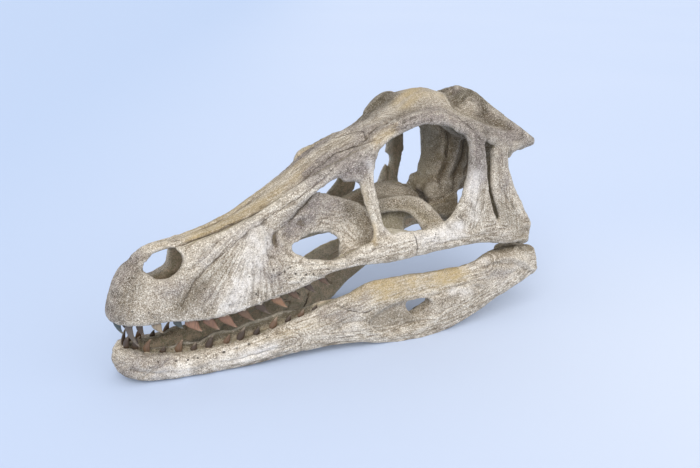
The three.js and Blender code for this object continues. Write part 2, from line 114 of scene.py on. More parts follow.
# A closed tube from a grid, rings by around by (x, y, z, ...). The rings are turned round where they
# wind the wrong way: the volume under their quads, a third of corner . (diagonal x diagonal) / 2, tells.
def closedTube(grid):
    place = grid[..., :3] - grid[..., :3].mean((0, 1))
    after = np.roll(place, -1, 1)
    spread = np.cross(after[1:] - place[:-1], place[1:] - after[:-1])
    if (place[:-1] * spread).sum() < 0:
        grid = grid[:, ::-1]
    rings, around = grid.shape[:2]
    ends = np.stack([grid[0].mean(0), grid[-1].mean(0)])
    points = np.vstack([grid.reshape(rings * around, -1), ends])
    return points, ringFaces(rings, around).tolist() + endFans(rings, around).tolist()


# A band of bone is carried from station to station. A station is
# (lower edge x, out, z,  upper edge x, out, z,  thickness, bow), and out is the way from the midline.
# Around a section, across is the squared cosine and through the squared sine of the angle, and a point
# is middle + half * across + outward * (bow * (1 - across * across) + thickness / 2 * through).
def boneBand(stations, side, outward, squareness=0.55, steps=7, around=22):
    rows = smoothRows(stations, steps)
    flip = np.array([1, side, 1])
    low = rows[:, 0:3] * flip
    half = (rows[:, 3:6] * flip - low) / 2
    middle = low + half
    normal = unit(np.cross(np.gradient(middle, axis=0), half))
    normal = normal * (np.sign(normal[0] @ (np.array(outward) * flip)) or 1)
    angle = np.linspace(0, 2 * np.pi, around, endpoint=False)
    across = np.sign(np.cos(angle)) * np.abs(np.cos(angle)) ** squareness
    through = np.sign(np.sin(angle)) * np.abs(np.sin(angle)) ** squareness
    lift = rows[:, 7:8] * (1 - across**2) + rows[:, 6:7] / 2 * through
    grid = middle[:, None] + half[:, None] * across[:, None] + normal[:, None] * lift[..., None]
    inward = np.tile(0.5 - 0.5 * through, (len(rows), 1))
    points, faces = closedTube(np.dstack([grid, inward]))
    return points[:, :3], faces, points[:, 3]


# One mesh from several, each as (points, faces, inward), where inward is 1 on a face towards the midline.
def gather(bands):
    points, faces, inward, count = [], [], [], 0
    for bandPoints, bandFaces, bandInward in bands:
        faces += [[corner + count for corner in face] for face in bandFaces]
        points.append(bandPoints)
        inward.append(bandInward)
        count += len(bandPoints)
    return np.vstack(points), faces, np.concatenate(inward)


def newObject(name, points, faces):
    mesh = bpy.data.meshes.new(name)
    mesh.from_pydata((points * mm).tolist(), [], faces)
    mesh.update()
    piece = bpy.data.objects.new(name, mesh)
    bpy.context.scene.collection.objects.link(piece)
    return piece


def readPoints(piece):
    values = np.empty(len(piece.data.vertices) * 3, np.float32)
    piece.data.vertices.foreach_get("co", values)
    return values.reshape(-1, 3).astype(float) / mm


def writePoints(piece, points):
    piece.data.vertices.foreach_set("co", (points * mm).astype(np.float32).ravel())
    piece.data.update()


def readNormals(piece):
    values = np.empty(len(piece.data.vertices) * 3, np.float32)
    piece.data.vertex_normals.foreach_get("vector", values)
    return values.reshape(-1, 3).astype(float)


def readEdges(piece):
    values = np.empty(len(piece.data.edges) * 2, np.int32)
    piece.data.edges.foreach_get("vertices", values)
    return values.reshape(-1, 2)


def readNumber(piece, name):
    values = np.empty(len(piece.data.vertices), np.float32)
    piece.data.attributes[name].data.foreach_get("value", values)
    return values.astype(float)


# Numbers on the corners of a mesh, for the finishes: one for each point, or three.
def writeValues(piece, name, values):
    kind, word = ("FLOAT", "value") if values.ndim == 1 else ("FLOAT_VECTOR", "vector")
    layer = piece.data.attributes.get(name) or piece.data.attributes.new(name, kind, "POINT")
    layer.data.foreach_set(word, values.astype(np.float32).ravel())


def smoothFaces(piece):
    piece.data.polygons.foreach_set("use_smooth", np.ones(len(piece.data.polygons), bool))


# The overlapping bands become one skin of even, small faces, and inward is carried over to it.
def oneSkin(name, bands, faceSize):
    points, faces, inward = gather(bands)
    piece = newObject(name, points, faces)
    writeValues(piece, "inward", inward)
    reskin(piece, faceSize)
    return piece


def reskin(piece, faceSize):
    piece.data.remesh_voxel_size = faceSize * mm
    piece.data.use_remesh_preserve_volume = False
    piece.data.use_remesh_preserve_attributes = True
    bpy.ops.object.select_all(action="DESELECT")
    piece.select_set(True)
    bpy.context.view_layer.objects.active = piece
    bpy.ops.object.voxel_remesh()


# The mean of each point's neighbours along the edges.
def neighbourMean(values, edges):
    a, b = edges[:, 0], edges[:, 1]
    count = len(values)
    share = np.bincount(a, minlength=count) + np.bincount(b, minlength=count)
    columns = [
        np.bincount(a, values[:, k][b], count) + np.bincount(b, values[:, k][a], count)
        for k in range(values.shape[1])
    ]
    return np.stack(columns, -1) / np.maximum(share, 1)[:, None]


# Fills the creases and keeps the edges: where the neighbours' mean lies outside the skin the point is
# in a hollow and moves most of the way to it, and elsewhere it moves a little.
def fillCreases(piece, rounds, hollow=0.6, ridge=0.12):
    edges = readEdges(piece)
    for _ in range(rounds):
        points = readPoints(piece)
        pull = neighbourMean(points, edges) - points
        outward = (pull * readNormals(piece)).sum(1, keepdims=True)
        writePoints(piece, points + pull * np.where(outward > 0, hollow, ridge))


# Irons out the steps of the small faces: each round pulls in by more than half and pushes back out.
def ironOut(piece, rounds):
    edges = readEdges(piece)
    points = readPoints(piece)
    for _ in range(rounds):
        points = points + 0.55 * (neighbourMean(points, edges) - points)
        points = points - 0.57 * (neighbourMean(points, edges) - points)
    writePoints(piece, points)


# A number from 0 to 1 for each corner of a unit grid, from the fraction of a large sine.
def cornerNumber(i, j, k):
    value = np.sin(i * 127.1 + j * 311.7 + k * 74.7) * 43758.5453
    return value - np.floor(value)


# Smooth noise from -1 to 1: the eight corners around a point are blended with a smooth step.
def noise(places):
    cell = np.floor(places)
    t = places - cell
    t = t * t * (3 - 2 * t)
    i, j, k = cell.T
    total = np.zeros(len(places))
    for di, dj, dk in np.ndindex(2, 2, 2):
        share = (
            (t[:, 0] if di else 1 - t[:, 0])
            * (t[:, 1] if dj else 1 - t[:, 1])
            * (t[:, 2] if dk else 1 - t[:, 2])
        )
        total += share * cornerNumber(i + di, j + dj, k + dk)
    return 2 * total - 1


# Three octaves of noise, each half the size and half the height of the one before.
def roughness(places, size, seed=0):
    return sum(noise(places / size * 2**n + seed + 17.3 * n) / 2**n for n in range(3)) / 1.75


# A band that crosses the midline, from rows of (x, half its width, z, thickness, bow).
def crossing(rows):
    return [(x, -half, z, x, half, z, thickness, bow) for x, half, z, thickness, bow in rows]


# A band that runs round the front or the back, from the stations of its left half and its middle.
def mirrored(rows):
    flip = (1, -1, 1, 1, -1, 1, 1, 1)
    return rows + [tuple(value * sign for value, sign in zip(row, flip)) for row in rows[-2::-1]]


# The cranium. The bands are the bones as they lie, alike on both sides but for those named left or
# right. A window, crease or tone is on both sides too, unless a last number gives its one side.
cranium = {
    "faceSize": 1.08,
    "fillRounds": 10,
    "ironRounds": 4,
    "plateSquareness": 0.4,
    "plateInner": 0.8,
    "spinalHole": {"z": 98, "radius": 4.5, "from": 95.5, "to": 117.5},
    "middleBands": {
        "muzzleWall": mirrored([
            (-82, -14, 31.5, -85, -11.2, 53, 5.4, 0.8), (-97, -12, 31.4, -95.5, -9.6, 54.6, 5.4, 1.3),
            (-107.8, -8.4, 31.6, -100.6, -5.4, 59.4, 5.4, 1.8),
            (-113.6, -4.4, 32.4, -102.6, -2.8, 60.2, 5.4, 2), (-115, 0, 33.2, -103.2, 0, 60.6, 5.4, 2),
        ]),
        "snoutRoof": crossing([
            (-101.4, 3.4, 60.8, 4.4, 1), (-96, 4.2, 63.4, 4.2, 1.8), (-90, 4.4, 64.8, 4, 2.2),
            (-79, 6.5, 65.4, 4, 2.4), (-64, 9.4, 67, 4, 3.2), (-48, 10.8, 71.8, 4, 3.4),
            (-34, 11.6, 78.4, 4, 3.8), (-20, 12.8, 84.8, 4, 3.8), (0, 15.6, 96.4, 4.5, 3.2),
            (18, 16.8, 103.6, 5, 3.2), (30, 17.4, 109, 5, 3), (39, 18.6, 113.6, 5, 1.8),
            (49, 24, 117.6, 5, 1.8), (57, 29, 119.4, 5.5, 5), (65, 24.5, 118.6, 6, 8),
            (73, 15, 117.5, 7, 6.6),
        ]),
        "braincase": [
            (66, 0, 74, 96, 0, 77, 13, 0), (64.6, 0, 82, 100, 0, 85, 21, 0), (68, 0, 92, 102, 0, 94, 24, 0),
            (68.4, 0, 101, 102, 0, 103, 25, 0), (63, 0, 109, 99, 0, 111, 24, 0),
            (57, 0, 115, 92, 0, 119, 20, 0),
        ],
        "basicranium": crossing([
            (63, 4, 75, 6, 0), (69, 7, 74, 10, 0), (82, 8, 74, 12, 0), (96, 7, 80, 16, 0),
            (103, 6, 86, 12, 0),
        ]),
        "occipitalCondyle": crossing([
            (98, 4, 86, 8, 0), (106, 4.2, 86, 8.5, 0), (110.5, 2.4, 86, 5, 0),
        ]),
        "occiputPlate": mirrored([
            (103.5, -30, 92, 99, -26, 112, 4.5, 0), (102, -14, 88, 96, -14, 121, 5, 0),
            (101, 0, 90, 93, 0, 126, 6, 0),
        ]),
        "palateRod": crossing([
            (-98, 2, 41, 5, 0), (-40, 3, 52, 5, 0), (12, 6.5, 65, 4, 0),
        ]),
    },
    # the way a band's outer face looks, and how far a band counts as inner bone
    "outward": {"muzzleWall": (0, -1, 0), "occiputPlate": (1, 0, 0), "braincase": (0, 1, 0)},
    "inner": {"braincase": 0.75, "basicranium": 0.85, "palateRod": 1, "occipitalCondyle": 0.6},
    "sideBands": {
        "basipterygoid": [
            (63, 8, 78, 90, 8, 80, 9, 0), (61.4, 8.6, 71.4, 83, 8.6, 71.4, 8.4, 0),
            (65, 9, 64.6, 79, 9, 64.6, 7.4, 0), (69, 9.4, 58, 77.6, 9.4, 58, 6, 0),
            (72, 9.8, 54, 78, 9.8, 54, 4.4, 0),
        ],
        "braincaseRidge": [
            (74, 12.2, 112, 77.4, 12.2, 112, 4.4, 0), (76.6, 12.4, 101, 79.4, 12.4, 101, 4, 0),
            (75.6, 12, 91, 78.6, 12, 91, 4, 0), (72, 10.6, 80, 75.4, 10.6, 80, 4, 0),
        ],
        "temporalFloor": [
            (60, 33, 118.4, 62, 18, 121, 4.4, 0), (70, 34, 115.6, 72, 16, 119, 5, -0.8),
            (82, 34, 110.6, 84, 16, 115.6, 5, -1), (93, 32, 107, 94, 20, 111.6, 5, -0.6),
            (103, 31, 103, 103, 28, 107, 4, 0),
        ],
        "maxillaWall": [
            (-91, 13, 31.8, -85.5, 10.8, 55, 5.4, 1), (-84, 14.2, 30.8, -80, 10.2, 62, 5.4, 1.6),
            (-72, 16.2, 29.6, -74, 9, 68.4, 5, 2.2), (-57, 18.8, 31, -56, 11, 73.4, 5, 2.6),
            (-42, 21.6, 34.6, -40, 14, 79, 5, 1.6),
        ],
        "maxillaRamus": [
            (-53, 18.4, 32.4, -52, 15.8, 58, 4.4, 0.6), (-40, 21.6, 35.4, -36, 20.2, 58.6, 5.2, 0.8),
            (-21, 25, 40.8, -18, 24, 54.6, 5.2, 1), (-5, 28, 46.6, -4, 26.8, 52.8, 5.2, 0.8),
            (14, 31.4, 47.8, 14, 30.4, 60, 5, 0.6),
        ],
        "upperRamus": [
            (-53, 13.2, 66, -52, 10.6, 74.4, 3.4, 0.5), (-38, 15.6, 71, -40, 11.8, 79.6, 4, 0.5),
            (-15, 17.4, 84, -18, 13.6, 91.6, 4, 0.8), (0, 18.8, 93, -4, 16, 98, 4.4, 0.8),
            (20, 20.6, 98, 20, 17.6, 107.4, 5.5, 1),
        ],
        "fossaWall": [
            (-29, 20.8, 55, -47, 19.4, 56, 2.6, 0), (-30, 19.6, 61.5, -44, 16.4, 69, 2.6, -0.5),
            (-22, 18.4, 62, -28, 14.8, 76.5, 2.6, 0.5), (-12, 17.8, 62, -12.5, 13.8, 86, 2.6, 1.5),
            (-5, 18.4, 61, 5, 12.8, 80.5, 2.6, 1.8), (-1.6, 20.2, 58, 19, 13.5, 73.4, 2.6, 1.5),
            (-2, 22.6, 53.5, 23, 19, 65, 2.6, 1), (-3, 25.6, 49.5, 22, 26, 54, 2.6, 0),
        ],
        "narisFront": [
            (-102.6, 5.6, 55, -101, 3.8, 61.4, 4, 0), (-99, 7.8, 54, -97.6, 4.6, 63.4, 4, 0),
            (-95, 9.2, 52, -94, 4.6, 64.6, 4, 0),
        ],
        "narisRear": [
            (-87, 11.4, 54, -76, 12, 55, 4.4, 0), (-86, 9.8, 61, -74, 10, 62, 4.4, 0),
            (-85, 6.6, 65.4, -74, 8, 67, 4.4, 0),
        ],
        "lacrimalBar": [
            (7, 19, 97.5, 25, 18.6, 107, 5, 0), (11.4, 20.8, 90, 20.2, 20.6, 93, 5, 0),
            (13.4, 23.8, 80, 20.6, 23.6, 81, 4.4, 0), (16, 27, 67.5, 22.8, 27, 67, 4.4, 0),
            (15, 29.4, 59.5, 26, 30, 60, 4.6, 0), (9, 31, 53.5, 34, 33.4, 53.5, 5, 0),
        ],
        "orbitRim": [
            (18, 20, 99.6, 18, 16, 106, 4.4, 0.3), (28, 19.6, 107.4, 28, 12.6, 112.8, 4.2, 0.5),
            (40, 23, 114.2, 40, 14, 118.4, 4.2, 0.8), (49, 29.4, 117, 49, 19, 121.6, 4.4, 1),
            (58, 35.4, 116.4, 58, 25, 122.6, 5, 1),
        ],
        "jugalBar": [
            (0, 29.2, 48, 3, 28.4, 55, 4.6, 0.4), (24, 33, 47.4, 24, 32.2, 62, 5, 0.8),
            (46, 36.8, 49.6, 45, 36.4, 62.8, 5.2, 0.8), (72, 40.4, 51, 72, 40.4, 62.5, 6, 0.8),
            (92, 41.2, 48, 92, 42, 59.6, 6, 0.6), (109, 40, 45.2, 110, 40.6, 57, 6, 0),
        ],
        "jugalProcess": [
            (46, 37, 57.5, 92, 42.2, 53.5, 5, 0), (53, 38.2, 64.5, 88, 42.4, 59.5, 5, 0.4),
            (58, 39.2, 70, 84.4, 42, 66, 5, 0.5), (62.4, 40, 78, 80.8, 41.6, 76, 5, 0.4),
            (64.6, 40.4, 87, 78.4, 41.2, 86.5, 5, 0.2),
        ],
        "postorbitalBar": [
            (64.4, 40.4, 83.5, 78.4, 41.2, 83.5, 5, 0), (66.6, 39.8, 98, 76.6, 40.4, 99, 5.4, 0),
            (66, 38.6, 107.5, 76, 39, 108.5, 5.4, 0), (61, 36, 115, 74, 37, 113.4, 5.4, 0),
            (55, 31, 119.6, 70, 31.6, 118.4, 5, 0),
        ],
        "temporalBar": [
            (60, 36.4, 113.4, 58, 30, 121, 5, 0.6), (72, 38.4, 109.6, 72, 32, 117.6, 4.6, 0.6),
            (84, 38.4, 103.5, 84, 33, 112.4, 4.6, 0.4), (96, 37, 98, 96, 32, 108.6, 5.4, 0),
            (107, 34.6, 99.4, 107, 31, 107, 5, 0),
        ],
        "quadratojugal": [
            (86, 41.8, 52, 110, 39.6, 46.4, 6, 0), (88.8, 42, 59.5, 111, 40.6, 56, 5.5, 0.4),
            (85.4, 41.6, 69, 105.2, 40.8, 66.5, 4.4, 0.4), (82, 40, 80, 98.4, 39.8, 79, 4.2, 0.2),
            (82, 38.8, 90, 93.8, 38.8, 91, 4.4, 0), (82.4, 37.4, 101, 92.8, 37, 103, 5, 0),
        ],
        "nuchalCrest": [
            (90, -1, 118, 86.5, -1, 128.6, 6, 0), (93.4, 9, 115, 90.4, 9, 127.2, 6, 0.6),
            (98, 22, 106.5, 96.4, 21.5, 118.8, 5.6, 0.8), (105, 31.5, 101, 105.4, 31.5, 110.4, 5.2, 0),
            (113.4, 36.6, 100.4, 113.4, 36.6, 103.4, 3, 0),
        ],
        "paroccipital": [
            (98, 10, 90, 96, 10, 106, 5, 0), (102, 22, 91, 101, 22, 106, 4.6, 0),
            (107, 31, 96.4, 107, 31, 105.4, 4.4, 0), (112.4, 36.2, 99.6, 112.6, 36.2, 102.6, 3, 0),
        ],
        "parietalDome": [
            (74, 22, 117, 75, 8, 119, 4, 0.4), (79, 23, 116.4, 80.6, 5, 122, 4, 1.2),
            (85, 22, 115.6, 86, 3, 126.4, 4, 2), (91.4, 17, 115.6, 89, 2, 127.6, 4, 1),
        ],
        "windowFront": [
            (-32, 21, 54, -32, 19, 64, 2.8, 0), (-27, 22.6, 53.8, -26.6, 18.8, 64.6, 2.8, 0),
            (-22, 24, 54.6, -21.4, 18.4, 65.6, 2.8, 0),
        ],
        "lacrimalWeb": [
            (3, 19.6, 90.6, 1, 19, 96, 3.6, 0.3), (8.4, 20.6, 90, 8, 19.2, 98, 3.6, 0.3),
            (14.6, 21.6, 89, 15, 20, 98, 3.6, 0.2),
        ],
        "parietalSide": [
            (64, 19, 112, 66, 10, 123.5, 5, 0), (78, 17, 104, 80, 3, 125, 5, -1.5),
            (92, 20, 102, 90, 6, 126, 5, -1),
        ],
        "quadrateShaft": [
            (101, 34, 50, 109, 33, 50, 8, 0), (97, 33.8, 70, 104.4, 33, 70, 5.2, 0),
            (92, 32.5, 92, 98.4, 31.5, 92, 5.4, 0), (92, 33.5, 103, 98, 32.5, 104, 6, 0),
        ],
        "quadrateCondyle": [
            (103.8, 41, 47.4, 111.4, 41, 47.4, 6.6, 0), (103.6, 34, 47.4, 111.8, 34, 47.4, 7.4, 0),
            (103.8, 27.5, 48.4, 111.2, 27.5, 48.4, 6.4, 0),
        ],
        "ectopterygoid": [
            (24, 10, 66, 26, 10, 74, 3.4, 0), (34, 14, 67, 40, 11, 75, 3.4, 0),
            (40.6, 20, 68, 50, 17, 74.6, 3, 0.4), (43, 27, 65, 54.6, 25, 70.6, 3, 0.4),
            (44, 35, 59, 56, 37, 64, 4.4, 0),
        ],
    },
    "leftBands": {
        "pterygoidShelf": [
            (27, 8, 71, 30, -9, 76, 3, 0.4), (37, 15, 69.6, 43, -9, 76.6, 3, 0.8),
            (45, 23, 67.4, 53, -6, 74.6, 3, 0.8), (52, 30, 64.4, 61, 0, 70, 3, 0.4),
        ],
    },
    "rightBands": {
        "maxillaWall": [
            (-91, 13, 31.8, -85.5, 10.8, 54.6, 5.4, 1), (-84, 14.2, 30.8, -80, 10.2, 60.4, 5.4, 1.4),
            (-72, 16.2, 29.6, -74, 9, 66, 5, 1.8), (-57, 18.8, 31, -56, 11, 69, 5, 2),
            (-42, 21.6, 34.6, -40, 13.6, 75.6, 5, 1.2),
        ],
        "upperRamus": [
            (-53, 13.2, 63.4, -52, 10.6, 70.2, 3.4, 0.5), (-38, 15.4, 68.6, -40, 11.6, 76.8, 4, 0.5),
            (-15, 16.8, 80.6, -18, 13.2, 87.8, 4, 0.8), (0, 18.8, 91, -3, 15.6, 95.6, 4.4, 0.8),
            (20, 20.6, 97.6, 20, 17.6, 106, 5.5, 1),
        ],
        "fossaWall": [
            (-29, 20.8, 55, -47, 19.4, 56, 2.6, 0), (-30, 19.6, 61.5, -44, 16.4, 67, 2.6, -0.5),
            (-22, 18.4, 62, -28, 15.4, 71, 2.6, 0.5), (-12, 18, 60, -13, 16, 72.4, 2.6, 0.6),
            (-5, 19.4, 58.6, 3, 16.4, 68.6, 2.6, 0.6), (-1.6, 21, 56, 13, 18, 65, 2.6, 0.6),
            (-2, 22.6, 53.5, 20, 21, 62, 2.6, 0.6), (-3, 25.6, 49.5, 22, 26, 54, 2.6, 0),
        ],
        "jugalProcess": [
            (50, 37.6, 58, 84, 42, 55, 5, 0), (60, 39.2, 64.5, 76, 41.4, 62.4, 5, 0.3),
            (66, 40, 71, 73.6, 41, 68, 5, 0), (68, 40.2, 78, 75.6, 41, 76, 4.6, 0),
            (66.8, 40.4, 87, 77.2, 41.2, 86.5, 5, 0),
        ],
        "brokenSpur": [
            (56.6, 38.4, 61.6, 68, 40, 66, 4.6, 0), (60.6, 39.2, 70, 65.6, 39.8, 71.6, 4, 0),
            (64, 39.8, 77, 66, 40, 77, 2.6, 0),
        ],
        "orbitRim": [
            (18, 19.8, 98, 18, 17, 103.6, 5, 0), (28, 18.6, 104.4, 28, 15.6, 108.4, 5, 0),
            (36, 19.8, 109, 36, 17, 113.4, 5, 0), (40.5, 21.6, 113, 41.5, 17.6, 119.4, 4.6, 0),
            (47, 25, 117, 48.5, 19.4, 122.4, 4.6, 0.5), (56, 31, 118, 58, 25, 122.8, 5, 0.8),
            (63, 35, 116, 66, 30, 121.4, 5, 0),
        ],
        "lacrimalFlange": [
            (-8.4, 14.6, 90, -8, 15.4, 96, 3, 0), (-4, 15.4, 93, -4, 16.6, 100, 3, 0),
            (6, 16.4, 98, 6, 17, 103, 3.4, 0), (20, 17.2, 103, 20, 16.8, 107.4, 3.4, 0),
        ],
        "lacrimalBar": [
            (9, 19, 97.5, 27, 18.6, 105, 5, 0), (18, 20.4, 89, 30, 20.4, 92, 4.4, 0),
            (22, 21.4, 80, 33, 21.4, 80.6, 3.6, 0), (15.4, 23, 70, 34, 23.4, 71, 3.6, 0),
            (13, 27.6, 60.5, 30, 29.6, 61, 4.4, 0), (9, 31, 53.5, 34, 33.4, 53.5, 5, 0),
        ],
        "quadratojugal": [
            (88, 41.8, 52, 110, 39.6, 46.4, 6, 0), (93.4, 42, 59.5, 111, 40.6, 56, 5.5, 0.4),
            (93, 42, 69, 105.4, 40.8, 66.5, 4.4, 0.4), (91.4, 41.4, 80, 99.6, 39.8, 79, 4.2, 0.2),
            (90, 40.4, 90, 97, 38.8, 91, 4.4, 0), (89, 39.4, 101, 95, 37, 103, 5, 0),
        ],
    },
    "plates": {
        "quadrateWing": [
            (102, 33, 55, 98, 32.5, 98, 3, 0), (92, 25, 53, 89, 24.5, 93, 3, 0),
            (82, 17, 55, 80, 17, 64, 3, 0), (72, 11.4, 58, 71, 11.4, 65, 3, 0),
        ],
        "pterygoid": [
            (80, 14, 58, 80, 14, 71, 3.4, 0), (60, 11, 59, 60, 11, 66, 3.4, 0),
            (42, 9.5, 60, 42, 9, 68, 3.4, 0), (14, 7, 60, 14, 6.6, 68, 3.4, 0),
            (-16, 3.6, 57, -16, 3.2, 62, 3.4, 0),
        ],
        "pterygoidFlange": [
            (26, 11, 50, 44, 13, 47, 3, 0), (27, 10, 58, 46, 12, 57, 3, 0),
            (30, 8.5, 65, 46, 9.5, 66, 3, 0),
        ],
        "palatine": [
            (-14, 25, 48, 10, 29, 51, 3, 0), (-11, 22, 49.6, 9, 25, 52.4, 2.8, 0),
        ],
        "jugalShelf": [
            (17, 31, 58, 20, 23, 64, 2.6, 0), (28, 32.6, 60, 28, 26, 63.4, 2.6, 0),
            (38, 34.6, 60, 37, 31, 61.6, 2.6, 0),
        ],
        "palateShelf": [
            (-104, 8, 40, -104, 1.5, 41, 3, 0), (-80, 12.6, 40, -80, 6.5, 43.4, 3, 0),
            (-44, 18.4, 44, -44, 12.5, 48.6, 3, 0), (-26, 22, 46, -26, 18, 49, 3, 0),
            (-8, 25, 48.6, -8, 22, 50.6, 3, 0),
        ],
    },
    "rightPlates": {
        "pterygoid": [
            (78, 14, 57, 78, 14, 64, 3.4, 0), (66, 12, 58, 66, 12, 69, 3.4, 0.6),
            (54, 10.6, 59, 54, 10.6, 75.4, 4, 1), (42, 9.5, 60, 42, 9, 77, 3.6, 1),
            (26, 8, 60, 26, 7.4, 75.6, 3.4, 0.6), (10, 6, 60, 10, 5.6, 71, 3.4, 0),
            (-16, 3.6, 57, -16, 3.2, 62, 3.4, 0),
        ],
    },
    # windows cut with a smooth outline: (x, z) points, and from out to out
    "windows": {
        "leftNaris": (
            [(-98.4, 57.8), (-97.6, 61.6), (-92.4, 64), (-86, 66), (-81.6, 65.8), (-79.6, 61),
             (-83.2, 55.6), (-89.6, 53.2), (-94.6, 55)], (2.6, 26), -1),
        "rightNaris": (
            [(-98.4, 51.8), (-97.6, 59), (-92.4, 63), (-86, 65), (-82, 64), (-81, 59.6), (-81.4, 55),
             (-82.2, 50.8), (-86.8, 48.8), (-93, 47.8)], (2.6, 26), 1),
        "rearSnout": (
            [(-27.3, 61.8), (-26, 58.6), (-23.6, 57), (-18, 56.1), (-10, 55), (-4.4, 54.6), (-1, 55.6),
             (0.2, 59.2), (-1.2, 61.8), (-4.8, 64.1), (-10.2, 64.9), (-15, 65), (-19, 64),
             (-24, 63.2)], (13, 34)),
    },
    # lines in the bone: (points, width, depth, darkness), and a depth below nought is a ridge
    "creases": {
        "nasal": (
            [(-79, 6.5, 67.5), (-68.7, 6.7, 70.4), (-62.2, 7.4, 72), (-53.9, 7.8, 75.1), (-46.5, 9.3, 77.1),
             (-38.6, 11, 80), (-29.8, 11.7, 84.6), (-22.8, 11.6, 88.8), (-16.6, 10.6, 93.4),
             (-6.7, 10.7, 98.6), (5.3, 9, 103.6), (14.2, 12.1, 107.4), (23, 17.3, 109.9)], 0.9, 0.45, 0.75),
        "midline": (
            [(-88, 0, 69), (-64, 0, 73), (-40, 0, 83), (-16, 0, 96), (6, 0, 105)], 1.2, 0.4, 0.3, -1),
        "snoutFold": (
            [(-38.8, 16.1, 75.3), (-47.4, 16, 72.1), (-54.5, 16.3, 67.5), (-59.8, 16.1, 63.3),
             (-65.5, 15.7, 60.3), (-70.8, 15.5, 56.1), (-76.2, 15.7, 51.5), (-80.5, 16.1, 45.7),
             (-84.3, 16.4, 39.6)], 1.5, 0.55, 0.45),
        "premaxilla": ([(-81, 13, 56.5), (-75, 14.3, 58), (-69, 14, 62.5), (-62, 12, 68)], 1, 0.3, 0.3),
        "fossaRim": (
            [(-25, 16, 77), (-31.4, 16.2, 74), (-38, 17, 70.7), (-42.5, 18.9, 67.5), (-44, 19.8, 61.4),
             (-42.5, 21.6, 55.1), (-38, 23, 51.6)], 2.4, -0.8, 0),
        "slit": ([(-34.6, 18, 68.2), (-35, 18.8, 65.8), (-34.6, 19.6, 63.8)], 1.4, 2, 1),
        "slitRim": ([(-31.4, 18, 68.8), (-31.4, 18.8, 66), (-31.8, 19.6, 63.4)], 1, -0.7, 0),
        "pocket": ([(-20.6, 17.6, 72.6), (-19, 18.2, 71)], 2.4, 1.1, 0),
        "pocketRim": ([(-23.6, 17.6, 73.6), (-21.6, 17.6, 75.4), (-18.6, 17.8, 74.8)], 1, -0.5, 0),
        "wallTop": (
            [(-9, 18.3, 88.5), (-16.4, 16.4, 81.1), (-22.3, 16.9, 76.4),
             (-25.9, 17.4, 73.4)], 1.1, 0.8, 0.8),
        "wallCrack": ([(2.2, 14.7, 78.6), (8.5, 16, 70.8), (15.1, 17.2, 62.1)], 0.8, 0.2, 0.3, -1),
        "lowerMaxilla": (
            [(-39.8, 20.5, 58.4), (-31.1, 23.9, 55.2), (-18.9, 27.1, 52.3), (-6, 29.7, 51.1),
             (2, 31, 51.3)], 1, 0.35, 0.25),
        "cheekCrack": (
            [(36, 38, 65.5), (36.5, 38, 58.8), (36.9, 38, 52.7), (37.3, 37.4, 48)], 0.8, 0.4, 1, -1),
        "roofStep": (
            [(6.8, -10.7, 104.7), (13.1, -5.4, 107.2), (18.8, -1.5, 109.6), (23.5, 5.1, 111.5),
             (20, 12.3, 109.7), (16.7, 12, 108.5)], 0.9, 0.45, 0.8, -1),
        "ramusLine": (
            [(-44, 16.6, 73.6), (-35.3, 17, 78.6), (-25.4, 17.4, 83.3), (-17.1, 17.6, 87.1),
             (-8.6, 18.4, 92.7), (0.5, 18.6, 99.7)], 1, 0.4, 0.55),
        "roofPatch": ([(8, -8, 105), (2, -10, 102), (-4, -9, 100), (-9, -10.6, 97)], 0.8, 0.35, 0.7, -1),
        "browGroove": ([(24, 18, 108), (32, 18, 112.6), (40, 22, 116), (50, 28, 119)], 1.2, 0.5, 0.3),
        "braincaseLeft": (
            [(72, 10, 112), (73, 12, 100), (72, 12, 90), (69, 11, 80), (69, 9, 70)], 1.2, 0.9, 0.6),
        "braincaseMiddle": (
            [(82, 12, 114), (84, 13, 101), (83, 12, 90), (79, 11, 79), (76, 10, 68)], 1.4, 0.9, 0.5),
        "braincaseRight": ([(90, 12, 110), (92, 12, 98), (89, 11, 86), (84, 10, 74)], 1.4, 0.8, 0.4),
        "cheekFan": ([(88.6, 41, 84), (92, 43, 75), (97, 43.4, 66), (104, 43, 60)], 1.2, 0.3, 0.3),
        "jugalGroove": ([(56, 41, 56.4), (70, 43, 56.6), (84, 44, 57.6), (94, 44, 58)], 1.4, 0.4, 0.15),
        "browSuture": (
            [(20, 11.3, 110), (24.4, 9.9, 111.8), (29.1, 9, 113.8), (33.4, 12, 115.5), (34.1, 19.5, 116.4),
             (34, 20.8, 115.1)], 0.9, 0.4, 0.6),
        "squamosal": (
            [(60, 31, 122), (61, 33.1, 121.8), (64.9, 37.6, 118.7), (68.8, 40.4, 114.1),
             (74, 41, 106)], 1, 0.4, 0.4),
        "fanUpper": ([(86.1, 42.5, 82.6), (90.8, 43.3, 75.9), (96.1, 43.6, 68.9)], 0.9, 0.35, 0.4),
        "fanLower": ([(85.5, 42.8, 74), (88.9, 43.1, 71.6), (97.8, 43.9, 62.9)], 0.9, 0.35, 0.4),
        "toothEdge": (
            [(-112, 4.4, 37.6), (-104, 10.6, 36), (-90, 15.6, 35), (-72, 19, 35), (-54, 21.6, 37),
             (-36, 24.6, 40.6), (-18, 27.8, 44.6)], 1.6, 0.25, 0),
    },
    # pits: (x, out, z, radius)
    "pits": [
        (-106, 10.4, 40.4, 0.4), (-99, 13.2, 39.4, 0.45), (-91.4, 15.2, 41, 0.36), (-82, 16.6, 37, 0.42),
        (-70, 18.6, 38.4, 0.36), (-61, 19.8, 37.2, 0.42), (-55.4, 20.8, 40.6, 0.4),
        (-47.7, 22.1, 40.7, 0.5), (-43, 23, 43.8, 0.38), (-35.3, 24.9, 42.3, 0.5), (-33, 25.2, 45.6, 0.36),
